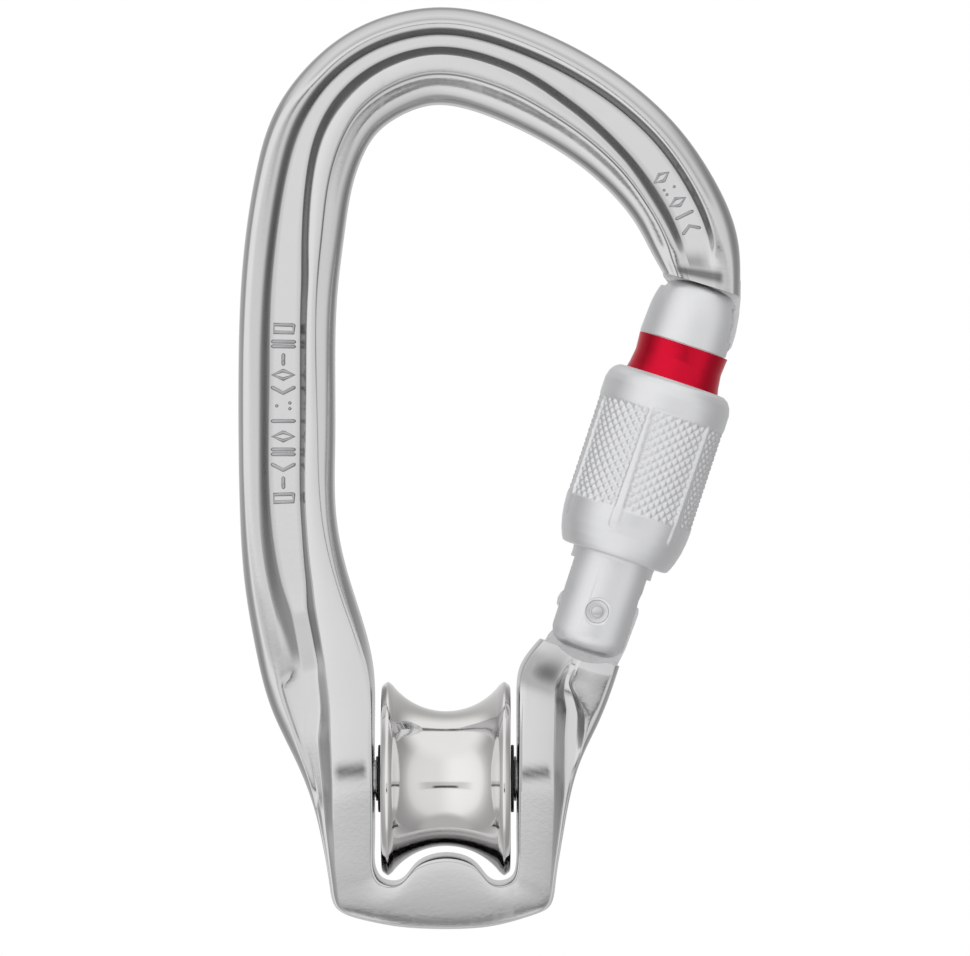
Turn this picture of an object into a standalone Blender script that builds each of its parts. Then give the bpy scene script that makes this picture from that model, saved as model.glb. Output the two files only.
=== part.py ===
"""Rope pulley built into a screw-gate carabiner.

A forged aluminium frame hangs from its top bend. Its lower end is a fork that
holds a grooved sheave on two sealed ball bearings, and a sprung gate with a
screw sleeve closes its side.

The frame lies in the XZ plane: +Z runs from the sheave up to the anchor, +X
towards the gate, and the origin is on the inner crown of the top bend.
Dimensions are in millimetres and become metres when a mesh is made.
"""

import math

import bmesh
import bpy
import numpy as np
from mathutils import Euler, Vector

MM = 0.001

# Driving dimensions.
GROOVE_R = 9.0          # sheave radius at the bottom of the rope groove
FLANGE_R = 13.0         # sheave radius over the flanges
SHEAVE_HALF = 8.6       # half the sheave's width
SHEAVE_Z = -90.1        # height of the axle below the inner crown
AXLE_R = 2.5
BEARING_R = 5.5         # 5 x 11 x 5 ball bearings
BEARING_W = 5.0
BALL_R = 0.94
BALLS = 7
BAR_HALF = 5.2          # half the thickness of the arms across their beads
FORK_HALF = 6.8         # half the thickness of the fork
TONGUE_HALF = 2.3       # half the thickness of the hinge tongue
NOSE_HALF = 1.9         # half the thickness of the nose tongue
BULB_HALF = 2.7         # half the thickness of the nose bulb
PIVOT = (20.1, -67.7)   # gate pin, (x, z)
GATE_TILT = 18.2        # gate axis from vertical, towards +X, in degrees
BARREL_R = 5.6
THREAD_R = 6.7
DOME_R = 6.15
SLEEVE_R = 8.7
FIT = 0.05              # radial gap of a push fit
GAP = 0.1               # end gap between neighbouring pieces

# Stations along the frame from the nose, over the top bend, down the spine,
# round the fork and up to the hinge: outer edge (x, z), inner edge (x, z).
STATIONS = [
    ((39.6, -25.6), (28.2, -21.9)),
    ((39.0, -18.2), (27.3, -19.6)),
    ((35.9, -10.2), (25.2, -15.8)),
    ((30.1, -2.1), (20.9, -10.8)),
    ((20.1, 5.9), (13.4, -5.3)),
    ((10.0, 10.7), (5.6, -1.6)),
    ((-0.7, 12.9), (-0.7, -0.1)),
    ((-8.7, 11.5), (-4.4, -0.8)),
    ((-16.7, 6.8), (-8.5, -3.2)),
    ((-22.7, -0.8), (-11.0, -6.7)),
    ((-25.3, -8.8), (-12.6, -11.4)),
    ((-26.65, -16.8), (-13.6, -17.6)),
    ((-27.4, -25.0), (-14.5, -25.2)),
    ((-27.7, -35.0), (-14.8, -35.0)),
    ((-27.7, -45.0), (-14.8, -45.0)),
    ((-27.5, -55.0), (-14.7, -54.6)),
    ((-26.9, -64.0), (-13.2, -62.4)),
    ((-25.4, -73.0), (-10.9, -69.8)),
    ((-23.4, -80.6), (-9.6, -76.2)),
    ((-20.5, -86.8), (-9.5, -82.5)),
    ((-17.9, -93.0), (-9.5, -90.5)),
    ((-16.3, -99.5), (-9.5, -98.6)),
    ((-15.5, -104.2), (-9.3, -102.2)),
    ((-14.7, -107.0), (-8.4, -103.5)),
    ((-12.4, -108.3), (-6.9, -103.9)),
    ((-9.2, -109.1), (-5.4, -103.2)),
    ((-6.3, -109.6), (-4.2, -101.6)),
    ((-3.1, -109.87), (-2.3, -100.4)),
    ((0.1, -109.95), (0.0, -100.0)),
    ((3.3, -109.85), (2.4, -100.4)),
    ((6.3, -109.5), (4.2, -101.6)),
    ((9.2, -108.8), (5.4, -103.2)),
    ((12.0, -107.9), (6.9, -103.9)),
    ((13.9, -106.8), (8.4, -103.5)),
    ((14.6, -104.0), (9.2, -102.2)),
    ((15.3, -99.4), (9.4, -98.4)),
    ((16.4, -93.2), (9.4, -91.5)),
    ((18.0, -87.6), (9.4, -85.0)),
    ((20.5, -82.3), (9.4, -78.6)),
    ((22.1, -78.7), (9.9, -75.0)),
    ((23.45, -75.1), (12.5, -71.4)),
]

# Forged section at some of the stations: (station, points), each point being
# (share of the width from the outer edge, height above the mid-plane). The
# points are: parting line, outer side, outer bead's shoulder, crest and inner
# edge, web's two ends, inner bead's two edges, inner facet, inner side, and
# parting line.
SECTIONS = [
    (0.0, [(0, 0), (0.01, 2.0), (0.06, 3.6), (0.14, 4.1), (0.25, 4.3), (0.37, 4.4),
           (0.60, 4.4), (0.72, 4.4), (0.86, 4.1), (0.93, 3.4), (0.99, 2.0), (1, 0)]),
    (0.8, [(0, 0), (0.01, 2.2), (0.07, 3.9), (0.16, 4.6), (0.30, 4.7), (0.40, 4.4),
           (0.60, 4.3), (0.71, 4.9), (0.84, 4.9), (0.92, 4.0), (0.99, 2.2), (1, 0)]),
    (2.0, [(0, 0), (0.01, 2.6), (0.07, 4.4), (0.14, 5.1), (0.23, 4.9), (0.33, 3.7),
           (0.55, 3.7), (0.65, 5.2), (0.78, 5.2), (0.89, 4.3), (0.99, 2.4), (1, 0)]),
    (6.0, [(0, 0), (0.01, 2.8), (0.055, 4.5), (0.12, 5.2), (0.20, 4.9), (0.30, 3.5),
           (0.40, 3.5), (0.49, 5.2), (0.68, 5.2), (0.84, 4.1), (0.985, 2.4), (1, 0)]),
    (9.0, [(0, 0), (0.01, 2.8), (0.06, 4.5), (0.13, 5.2), (0.22, 4.9), (0.31, 3.0),
           (0.53, 3.0), (0.62, 5.1), (0.78, 5.2), (0.88, 4.4), (0.985, 2.6), (1, 0)]),
    (12.0, [(0, 0), (0.01, 2.8), (0.065, 4.6), (0.13, 5.2), (0.235, 4.9), (0.33, 2.8),
            (0.61, 2.8), (0.70, 5.0), (0.85, 5.2), (0.91, 4.6), (0.99, 2.8), (1, 0)]),
    (15.0, [(0, 0), (0.01, 2.8), (0.08, 4.6), (0.17, 5.2), (0.30, 4.9), (0.42, 2.8),
            (0.66, 2.8), (0.73, 5.0), (0.85, 5.3), (0.91, 4.6), (0.985, 2.8), (1, 0)]),
    (16.6, [(0, 0), (0.01, 2.7), (0.08, 4.3), (0.18, 5.0), (0.34, 4.5), (0.46, 3.1),
            (0.54, 3.1), (0.61, 5.3), (0.80, 6.0), (0.91, 5.0), (0.985, 3.0), (1, 0)]),
    (17.8, [(0, 0), (0.01, 2.6), (0.08, 4.1), (0.16, 4.8), (0.28, 4.7), (0.40, 4.4),
            (0.48, 4.5), (0.55, 6.3), (0.84, 6.7), (0.95, 6.2), (0.99, 3.0), (1, 0)]),
    (19.0, [(0, 0), (0.01, 2.4), (0.06, 3.8), (0.11, 4.3), (0.20, 4.2), (0.30, 4.2),
            (0.38, 4.6), (0.47, 6.5), (0.90, 6.8), (0.955, 6.5), (0.985, 4.0), (1, 0)]),
    (20.0, [(0, 0), (0.01, 2.6), (0.04, 3.4), (0.10, 3.7), (0.15, 4.0), (0.20, 4.5),
            (0.26, 5.4), (0.33, 6.6), (0.90, 6.8), (0.95, 6.5), (0.98, 4.0), (1, 0)]),
    (21.0, [(0, 0), (0.01, 2.4), (0.03, 3.8), (0.05, 4.7), (0.08, 5.6), (0.11, 6.3),
            (0.15, 6.7), (0.20, 6.8), (0.88, 6.8), (0.94, 6.5), (0.98, 4.0), (1, 0)]),
    (28.0, [(0, 0), (0.005, 3.4), (0.02, 5.6), (0.04, 6.4), (0.07, 6.8), (0.18, 6.8),
            (0.40, 6.8), (0.70, 6.8), (0.93, 6.8), (0.965, 6.5), (0.985, 4.0), (1, 0)]),
    (35.0, [(0, 0), (0.01, 2.4), (0.04, 4.4), (0.07, 5.6), (0.10, 6.3), (0.14, 6.7),
            (0.20, 6.8), (0.60, 6.8), (0.88, 6.8), (0.93, 6.5), (0.97, 4.0), (1, 0)]),
    (36.0, [(0, 0), (0.01, 2.4), (0.04, 3.6), (0.09, 4.4), (0.16, 5.3), (0.24, 6.4),
            (0.30, 6.8), (0.50, 6.8), (0.90, 6.8), (0.94, 6.5), (0.975, 4.0), (1, 0)]),
    (37.0, [(0, 0), (0.01, 2.2), (0.04, 3.4), (0.08, 4.1), (0.16, 4.4), (0.28, 5.3),
            (0.37, 6.5), (0.44, 6.8), (0.91, 6.8), (0.945, 6.5), (0.975, 4.0), (1, 0)]),
    (38.0, [(0, 0), (0.01, 2.4), (0.04, 3.9), (0.08, 4.2), (0.16, 3.2), (0.28, 3.2),
            (0.40, 5.0), (0.47, 5.9), (0.56, 6.7), (0.94, 6.5), (0.98, 4.0), (1, 0)]),
    (38.6, [(0, 0), (0.01, 2.4), (0.04, 4.0), (0.08, 4.3), (0.16, 3.5), (0.30, 3.6),
            (0.44, 5.0), (0.52, 5.5), (0.64, 6.0), (0.92, 5.8), (0.98, 3.6), (1, 0)]),
    (39.2, [(0, 0), (0.01, 2.4), (0.04, 4.1), (0.09, 4.5), (0.18, 4.3), (0.34, 4.4),
            (0.46, 4.8), (0.56, 4.9), (0.70, 5.0), (0.90, 4.8), (0.98, 3.2), (1, 0)]),
    (40.0, [(0, 0), (0.01, 2.4), (0.04, 4.0), (0.10, 4.6), (0.20, 4.8), (0.34, 4.9),
            (0.46, 4.9), (0.58, 4.9), (0.74, 4.8), (0.90, 4.3), (0.98, 2.8), (1, 0)]),
]


def cubic_slopes(knots, values):
    """Slopes of the natural cubic spline through values at knots."""
    n = len(knots)
    step = np.diff(knots)
    matrix = np.zeros((n, n))
    right = np.zeros_like(values)
    matrix[0, :2] = 2, 1
    matrix[-1, -2:] = 1, 2
    right[0] = 3 * (values[1] - values[0]) / step[0]
    right[-1] = 3 * (values[-1] - values[-2]) / step[-1]
    for i in range(1, n - 1):
        a, b = 1 / step[i - 1], 1 / step[i]
        matrix[i, i - 1:i + 2] = a, 2 * (a + b), b
        right[i] = 3 * ((values[i] - values[i - 1]) * a * a + (values[i + 1] - values[i]) * b * b)
    return np.linalg.solve(matrix, right)


def even_slopes(knots, values):
    """Slopes that keep each stretch of the curve inside its own two values."""
    step = np.diff(knots).reshape(-1, *([1] * (values.ndim - 1)))
    rise = np.diff(values, axis=0) / step
    slopes = np.zeros_like(values)
    a, b = rise[:-1], rise[1:]
    same_way = a * b > 0
    total = np.where(same_way, a + b, 1.0)
    slopes[1:-1] = np.where(same_way, 2 * a * b / total, 0.0)
    slopes[0], slopes[-1] = rise[0], rise[-1]
    return slopes


def hermite(knots, values, slopes, wanted):
    """The cubic curve with these values and slopes, read at the wanted places."""
    cell = np.clip(np.searchsorted(knots, wanted, side="right") - 1, 0, len(knots) - 2)
    shape = (-1, *([1] * (values.ndim - 1)))
    step = (knots[cell + 1] - knots[cell]).reshape(shape)
    t = ((wanted - knots[cell]).reshape(shape)) / step
    v0, v1, m0, m1 = values[cell], values[cell + 1], slopes[cell], slopes[cell + 1]
    return (
        (2 * t**3 - 3 * t**2 + 1) * v0
        + (t**3 - 2 * t**2 + t) * step * m0
        + (3 * t**2 - 2 * t**3) * v1
        + (t**3 - t**2) * step * m1
    )


def frame_rows(per_station, across):
    """Closed loops of points round the frame's section, from the nose to the hinge."""
    edges = np.array(STATIONS, float).reshape(len(STATIONS), 4)
    middle = (edges[:, :2] + edges[:, 2:]) / 2
    run = np.concatenate([[0.0], np.cumsum(np.linalg.norm(np.diff(middle, axis=0), axis=1))])
    index = np.arange(len(STATIONS), dtype=float)
    places = np.linspace(0, len(STATIONS) - 1, (len(STATIONS) - 1) * per_station + 1)
    along = np.interp(places, index, run)
    edge = hermite(run, edges, cubic_slopes(run, edges), along)

    knots = np.array([s for s, _ in SECTIONS])
    table = np.array([points for _, points in SECTIONS], float)
    shape = hermite(knots, table, even_slopes(knots, table), places)
    keys = np.arange(table.shape[1], dtype=float)
    steps = np.linspace(0, table.shape[1] - 1, across)

    rows = []
    for (ox, oz, ix, iz), section in zip(edge, shape):
        curve = hermite(keys, section, even_slopes(keys, section), steps)
        share, height = curve[:, :1], curve[:, 1]
        plan = (1 - share) * np.array([ox, oz]) + share * np.array([ix, iz])
        front = [(x, -h, z) for (x, z), h in zip(plan, height)]
        back = [(x, h, z) for (x, z), h in zip(plan, height)][-2:0:-1]
        rows.append(front + back)
    return rows


def finish_object(name, bm, colour, roughness, metallic, location=(0, 0, 0), turn=(0, 0, 0)):
    """Makes an object of a bmesh in millimetres, smooth-shaded, with its own material."""
    bmesh.ops.recalc_face_normals(bm, faces=bm.faces)
    bmesh.ops.scale(bm, vec=(MM, MM, MM), verts=bm.verts)
    mesh = bpy.data.meshes.new(name)
    bm.to_mesh(mesh)
    bm.free()
    mesh.shade_smooth()
    mesh.set_sharp_from_angle(angle=math.radians(35))
    obj = bpy.data.objects.new(name, mesh)
    bpy.context.scene.collection.objects.link(obj)
    obj.location = Vector(location) * MM
    obj.rotation_euler = Euler(turn)
    material = bpy.data.materials.new(name)
    material.use_nodes = True
    shader = material.node_tree.nodes["Principled BSDF"]
    shader.inputs["Base Color"].default_value = (*colour, 1)
    shader.inputs["Roughness"].default_value = roughness
    shader.inputs["Metallic"].default_value = metallic
    mesh.materials.append(material)
    return obj


def lathe(profile, segments):
    """A bmesh turned about Z from (radius, height) points. Ends at radius 0 close by themselves."""
    bm = bmesh.new()
    points = [bm.verts.new((r, 0, z)) for r, z in profile]
    open_ends = profile[0][0] == 0 and profile[-1][0] == 0
    pairs = list(zip(points, points[1:])) + ([] if open_ends else [(points[-1], points[0])])
    edges = [bm.edges.new(pair) for pair in pairs]
    bmesh.ops.spin(
        bm, geom=points + edges, cent=(0, 0, 0), axis=(0, 0, 1), dvec=(0, 0, 0),
        angle=2 * math.pi, steps=segments, use_merge=True,
    )
    bmesh.ops.remove_doubles(bm, verts=bm.verts, dist=1e-5)
    return bm


def plate(outline, low, high):
    """A bmesh of an (x, z) outline extruded along Y from low to high."""
    bm = bmesh.new()
    face = bm.faces.new([bm.verts.new((x, low, z)) for x, z in outline])
    grown = bmesh.ops.extrude_face_region(bm, geom=[face])
    moved = [v for v in grown["geom"] if isinstance(v, bmesh.types.BMVert)]
    bmesh.ops.translate(bm, verts=moved, vec=(0, high - low, 0))
    return bm


def box_outline(x0, z0, x1, z1):
    return [(x0, z0), (x1, z0), (x1, z1), (x0, z1)]


def arc(centre, radius, start, end, steps):
    """Points on an arc, with angles in degrees."""
    angles = [math.radians(start + (end - start) * i / steps) for i in range(steps + 1)]
    return [(centre[0] + radius * math.cos(a), centre[1] + radius * math.sin(a)) for a in angles]


def cut(obj, cutter, operation="DIFFERENCE"):
    """Cuts or joins another object into this one, and hides the helper."""
    cutter.hide_render = True
    cutter.display_type = "WIRE"
    modifier = obj.modifiers.new(cutter.name, "BOOLEAN")
    modifier.operation = operation
    modifier.solver = "EXACT"
    modifier.object = cutter


def helper(name, bm, location=(0, 0, 0), turn=(0, 0, 0)):
    return finish_object(name, bm, (0.5, 0.5, 0.5), 0.5, 0.0, location, turn)


ALONG_X = (0, math.pi / 2, 0)
AT_AXLE = (0, 0, SHEAVE_Z)
AT_PIVOT = (PIVOT[0], 0, PIVOT[1])
ALONG_GATE = (0, math.radians(GATE_TILT), 0)
ALUMINIUM = dict(colour=(0.72, 0.72, 0.73), roughness=0.22, metallic=1.0)
SATIN = dict(colour=(0.82, 0.83, 0.84), roughness=0.38, metallic=1.0)
STEEL = dict(colour=(0.62, 0.61, 0.60), roughness=0.2, metallic=1.0)
BLACK = dict(colour=(0.02, 0.02, 0.02), roughness=0.5, metallic=0.0)


def at_gate(**finish):
    return dict(location=AT_PIVOT, turn=ALONG_GATE, **finish)


def at_axle(**finish):
    return dict(location=AT_AXLE, turn=ALONG_X, **finish)


# Frame: one forging, with its tongues machined and its holes drilled.

NOSE_OUTLINE = [(-6.3, 47.5), (-6.1, 45.6), (-4.9, 44.7), (-2.7, 44.4), (-2.7, 40.6), (3.0, 38.8),
                (5.5, 37.6), (5.95, 38.2), (6.0, 41.0), (5.7, 43.6), (5.3, 46.0), (5.1, 47.5)]
BULB_OUTLINE = box_outline(-2.6, 40.4, 4.6, 43.2)
HINGE_OUTLINE = [(-5.3, -7.6), (-5.3, 0.4), (-4.6, 1.9), (-2.6, 3.3), (-0.6, 3.2), (1.6, 2.6),
                 (3.6, 2.3), (4.9, 2.1), (5.6, 1.4), (5.6, -7.6)]
HINGE_HOLE_R = 1.65
BARREL_SWING_R = 6.9    # clears the barrel's foot as the gate swings
AXLE_X = (-17.0, 14.0)


def make_frame():
    bm = bmesh.new()
    rows = [[bm.verts.new(p) for p in row] for row in frame_rows(2, 15)]
    for row, following in zip(rows, rows[1:]):
        count = len(row)
        for j in range(count):
            k = (j + 1) % count
            bm.faces.new((row[j], row[k], following[k], following[j]))
    bm.faces.new(rows[0])
    bm.faces.new(rows[-1])
    frame = finish_object("frame", bm, **ALUMINIUM)

    swing = lathe([(0, -9), (BARREL_SWING_R, -9), (BARREL_SWING_R, 9), (0, 9)], 64)
    cut(frame, helper("barrel_swing_cut", swing, AT_PIVOT, (math.pi / 2, 0, 0)))
    for name, outline, half in (
        ("nose_tongue_join", NOSE_OUTLINE, NOSE_HALF),
        ("nose_bulb_join", BULB_OUTLINE, BULB_HALF),
        ("hinge_tongue_join", HINGE_OUTLINE, TONGUE_HALF),
    ):
        tool = helper(name, plate(outline, -half, half), AT_PIVOT, ALONG_GATE)
        cut(frame, tool, "UNION")

    pin_hole = lathe([(0, -9), (HINGE_HOLE_R, -9), (HINGE_HOLE_R, 9), (0, 9)], 24)
    cut(frame, helper("pin_hole_cut", pin_hole, AT_PIVOT, (math.pi / 2, 0, 0)))
    bore_r = AXLE_R + FIT
    axle_hole = lathe([(0, -25), (bore_r, -25), (bore_r, AXLE_X[1] + 0.3), (0, AXLE_X[1] + 0.3)], 24)
    cut(frame, helper("axle_hole_cut", axle_hole, AT_AXLE, ALONG_X))
    return frame


# Sheave and its bearings, all turned about the axle.

def make_sheave():
    groove = [(0.0, GROOVE_R), (2.0, 9.12), (4.2, 9.8), (5.8, 10.9), (7.2, 12.75)]
    rim = [(7.85, FLANGE_R), (SHEAVE_HALF, 12.3)]
    half = groove + rim
    outer = [(r, -x) for x, r in reversed(half[1:])] + [(r, x) for x, r in half]
    seat_r = BEARING_R + FIT
    shoulder = SHEAVE_HALF - BEARING_W - 0.2
    bore = [(seat_r, SHEAVE_HALF), (seat_r, shoulder), (4.7, shoulder),
            (4.7, -shoulder), (seat_r, -shoulder), (seat_r, -SHEAVE_HALF)]
    return finish_object("sheave", lathe(outer + bore, 36), **at_axle(**STEEL))


BALL_X = SHEAVE_HALF - 0.1 - BEARING_W / 2
PITCH_R = 4.0
TRACK_R = 1.0           # radius of the groove that the balls run in


def track(sign, low, high):
    """The ball groove of a race in section, seen from the pitch circle."""
    points = arc((0, 0), TRACK_R, -42, 42, 3)
    return [(PITCH_R + sign * x, z) for x, z in points if low <= z <= high]


def make_bearing(side, name):
    """One sealed ball bearing: races, balls in a crown cage, and two seals."""
    centre = side * BALL_X
    half = BEARING_W / 2
    outer_bore, inner_land = 4.75, 3.25
    axle_r = AXLE_R + FIT

    outer = [(BEARING_R, -half), (outer_bore, -half)] + track(1, -1, 1)
    outer += [(outer_bore, half), (BEARING_R, half)]
    inner = [(axle_r, -half - 0.05), (inner_land, -half - 0.05)] + track(-1, -1, 1)
    inner += [(inner_land, half + 0.05), (axle_r, half + 0.05)]
    place = dict(location=(centre, 0, SHEAVE_Z), turn=ALONG_X)
    finish_object(f"bearing_outer_race_{name}", lathe(outer, 24), **place, **STEEL)
    finish_object(f"bearing_inner_race_{name}", lathe(inner, 24), **place, **STEEL)

    for end in (-1, 1):
        where = "outer" if end == side else "inner"
        z0, z1 = sorted((end * (half - 0.1), end * (half - 0.45)))
        ring = [(inner_land + 0.08, z0), (outer_bore - 0.05, z0),
                (outer_bore - 0.05, z1), (inner_land + 0.08, z1)]
        finish_object(f"bearing_seal_{where}_{name}", lathe(ring, 24), **place, **BLACK)

    for i in range(BALLS):
        turn = 2 * math.pi * i / BALLS
        bm = bmesh.new()
        bmesh.ops.create_uvsphere(bm, u_segments=8, v_segments=6, radius=BALL_R)
        at = (centre, PITCH_R * math.sin(turn), SHEAVE_Z + PITCH_R * math.cos(turn))
        finish_object(f"bearing_ball_{name}_{i + 1}", bm, location=at, turn=ALONG_X, **STEEL)
    finish_object(f"bearing_cage_{name}", crown_cage(side), location=(centre, 0, SHEAVE_Z), **BLACK)


def crown_cage(side):
    """A ring beside the balls with a finger standing between each pair."""
    steps_per_ball = 6
    low_r, high_r, back = 3.55, 4.45, 1.55
    clear = BALL_R + 0.12
    bm = bmesh.new()
    rings = []
    for i in range(BALLS * steps_per_ball):
        turn = 2 * math.pi * i / (BALLS * steps_per_ball)
        offset = (i % steps_per_ball) / steps_per_ball
        away = PITCH_R * 2 * math.pi / BALLS * min(offset, 1 - offset)
        front = math.sqrt(clear**2 - away**2) if away < clear * 0.98 else 0.1
        section = [(low_r, -side * front), (high_r, -side * front),
                   (high_r, -side * back), (low_r, -side * back)]
        rings.append([bm.verts.new((x, r * math.sin(turn), r * math.cos(turn))) for r, x in section])
    for ring, following in zip(rings, rings[1:] + rings[:1]):
        for j in range(4):
            k = (j + 1) % 4
            bm.faces.new((ring[j], ring[k], following[k], following[j]))
    return bm


def make_axle_set():
    """Axle, the tube that spaces the inner races, and the washers at each cheek."""
    low, high = AXLE_X
    axle = [(0, low), (1.9, low), (2.3, low + 0.15), (AXLE_R, low + 0.6), (AXLE_R, high - 0.4),
            (2.1, high), (0, high)]
    finish_object("axle", lathe(axle, 24), **at_axle(**STEEL))
    inner_end = BALL_X - BEARING_W / 2 - 0.05 - GAP
    tube = [(AXLE_R + FIT, -inner_end), (3.2, -inner_end), (3.2, inner_end), (AXLE_R + FIT, inner_end)]
    finish_object("bearing_spacer_tube", lathe(tube, 24), **at_axle(**STEEL))
    for side, name in ((-1, "left"), (1, "right")):
        for label, radius, x0, x1, finish in (
            ("dust_washer", 4.5, SHEAVE_HALF + 0.06, SHEAVE_HALF + 0.46, BLACK),
            ("thrust_washer", 3.0, SHEAVE_HALF + 0.50, SHEAVE_HALF + 0.76, STEEL),
        ):
            low, high = sorted((side * x0, side * x1))
            ring = [(AXLE_R + FIT, low), (radius, low), (radius, high), (AXLE_R + FIT, high)]
            finish_object(f"{label}_{name}", lathe(ring, 24), **at_axle(**finish))


# Gate: barrel, indicator band, hinge pin, spring, plunger, sleeve and its ring.

THREAD_V = (18.6, 31.9)
BAND_V = (32.1, 37.4)
SPRING_BORE_R = 2.6
SPRING_TOP = 20.0
SLOT_TOP = 6.0
PLUNGER_V = (3.45, 8.0)
DISH_R = 1.9


def make_gate_barrel():
    seat_r = 5.55
    profile = [
        (0, -5.6), (3.4, -5.4), (4.6, -4.9), (5.3, -4.1), (BARREL_R, -3.1), (BARREL_R, THREAD_V[0] - 1),
        (THREAD_R, THREAD_V[0]), (THREAD_R, THREAD_V[1]), (seat_r, THREAD_V[1]),
        (seat_r, BAND_V[1]), (DOME_R, BAND_V[1]), (DOME_R, 40.2), (6.0, 42.0), (5.7, 43.6),
        (5.2, 44.9), (4.6, 45.5), (3.6, 45.7), (0, 45.75),
    ]
    barrel = finish_object("gate_barrel", lathe(profile, 32), **at_gate(**SATIN))
    slot = plate(box_outline(-9, -9, 9, SLOT_TOP), -TONGUE_HALF - 0.2, TONGUE_HALF + 0.2)
    cut(barrel, helper("hinge_slot_cut", slot, AT_PIVOT, ALONG_GATE))
    spring_bore = [(0, 0), (SPRING_BORE_R, 0), (SPRING_BORE_R, SPRING_TOP), (0, SPRING_TOP + 1.2)]
    cut(barrel, helper("spring_bore_cut", lathe(spring_bore, 20), AT_PIVOT, ALONG_GATE))
    nose_slot = [(-3.3, 48), (-3.3, 39.7), (3.0, 37.9), (9, 36.2), (9, 48)]
    half = NOSE_HALF + 0.35
    cut(barrel, helper("nose_slot_cut", plate(nose_slot, -half, half), AT_PIVOT, ALONG_GATE))
    through = plate(box_outline(-9, 44.1, -2, 48), -half, half)
    cut(barrel, helper("nose_through_cut", through, AT_PIVOT, ALONG_GATE))
    half = BULB_HALF + 0.35
    chamber = plate(box_outline(-3.2, 39.6, 9, 43.9), -half, half)
    cut(barrel, helper("nose_chamber_cut", chamber, AT_PIVOT, ALONG_GATE))
    pin_hole = lathe([(0, -9), (1.55, -9), (1.55, 9), (0, 9)], 24)
    cut(barrel, helper("gate_pin_cut", pin_hole, AT_PIVOT, (math.pi / 2, 0, 0)))
    for side, name in ((-1, "front"), (1, "back")):
        dish = [(0, 4.95), (DISH_R, 4.95), (DISH_R + 0.15, 7), (0, 7)]
        turn = (-side * math.pi / 2, 0, 0)
        cut(barrel, helper(f"dish_cut_{name}", lathe(dish, 24), AT_PIVOT, turn))
    return barrel


def make_gate_parts():
    band = [(5.6, BAND_V[0]), (6.5, BAND_V[0]), (6.2, BAND_V[0] + 1.4), (5.98, BAND_V[0] + 3.2),
            (DOME_R, BAND_V[1] - 0.1), (5.6, BAND_V[1] - 0.1)]
    finish_object("indicator_band", lathe(band, 32), colour=(0.72, 0.01, 0.03), roughness=0.3,
                  metallic=0.8, location=AT_PIVOT, turn=ALONG_GATE)

    pin = [(0, -5.25), (0.8, -5.25), (0.9, -5.0), (1.5, -4.9), (1.5, 4.9), (0.9, 5.0), (0.8, 5.25), (0, 5.25)]
    finish_object("gate_pin", lathe(pin, 24), location=AT_PIVOT, turn=(math.pi / 2, 0, 0), **STEEL)

    low, high = PLUNGER_V
    plunger = [(0, low), (1.6, low), (2.35, low + 0.5), (2.4, low + 1.2), (2.4, high - 0.8),
               (1.4, high - 0.8), (1.4, high + 0.8), (0, high + 0.8)]
    finish_object("spring_plunger", lathe(plunger, 24), **at_gate(**STEEL))
    finish_object("gate_spring", coil(1.95, 0.28, PLUNGER_V[1], SPRING_TOP - 0.4, 7), **at_gate(**STEEL))


def coil(radius, wire, low, high, turns):
    """A compression spring wound about Z between two heights."""
    sides, per_turn = 5, 10
    count = turns * per_turn
    bm = bmesh.new()
    rings = []
    for i in range(count + 1):
        turn = 2 * math.pi * i / per_turn
        z = low + wire + (high - low - 2 * wire) * i / count
        ring = []
        for j in range(sides):
            a = 2 * math.pi * j / sides
            r = radius + wire * math.cos(a)
            ring.append(bm.verts.new((r * math.cos(turn), r * math.sin(turn), z + wire * math.sin(a))))
        rings.append(ring)
    for ring, following in zip(rings, rings[1:]):
        for j in range(sides):
            k = (j + 1) % sides
            bm.faces.new((ring[j], ring[k], following[k], following[j]))
    bm.faces.new(rings[0])
    bm.faces.new(rings[-1])
    return bm


SLEEVE_V = (7.6, 32.3)
RIB_ANGLES = [-10 + 60 * i for i in range(6)]


def make_sleeve():
    """The screw sleeve, with six fine ribs raised along its grip."""
    v0, v1 = SLEEVE_V
    grip = SLEEVE_R - 0.1
    profile = [
        (5.85, v0), (7.1, v0), (7.6, v0 + 0.6), (8.25, v0 + 3.0), (8.6, v0 + 5.2), (grip, v0 + 6.3),
        (grip, v0 + 20.0), (SLEEVE_R, v0 + 20.2), (SLEEVE_R, v1 - 3.2), (8.35, v1 - 1.4),
        (7.7, v1 - 0.4), (7.0, v1), (6.85, v1), (6.85, v0 + 2.2), (5.85, v0 + 2.2),
    ]
    bm = lathe(profile, 36)
    for v in bm.verts:
        radius = math.hypot(v.co.x, v.co.y)
        bearing = math.degrees(math.atan2(v.co.x, -v.co.y))
        on_rib = any(abs((bearing - a + 180) % 360 - 180) < 1.5 for a in RIB_ANGLES)
        if on_rib and radius > grip - 0.01 and v0 + 6 < v.co.z < v0 + 20.1:
            v.co.x *= (radius + 0.22) / radius
            v.co.y *= (radius + 0.22) / radius
    finish_object("lock_sleeve", bm, **at_gate(**SATIN))

    low, high = v0 + 2.3, v0 + 2.9
    ring = [(BARREL_R + 0.08, low), (6.7, low), (6.7, high), (BARREL_R + 0.08, high)]
    finish_object("sleeve_friction_ring", lathe(ring, 24), **at_gate(**BLACK))


def clear_scene():
    for obj in list(bpy.data.objects):
        bpy.data.objects.remove(obj)


def main():
    clear_scene()
    make_frame()
    make_sheave()
    make_bearing(-1, "left")
    make_bearing(1, "right")
    make_axle_set()
    make_gate_barrel()
    make_gate_parts()
    make_sleeve()


main()
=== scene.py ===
"""Rope pulley with a screw gate, hung from its top bend in a plain pale studio."""

import math

import bmesh
import bpy
import numpy as np
from mathutils import Matrix, Vector


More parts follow.
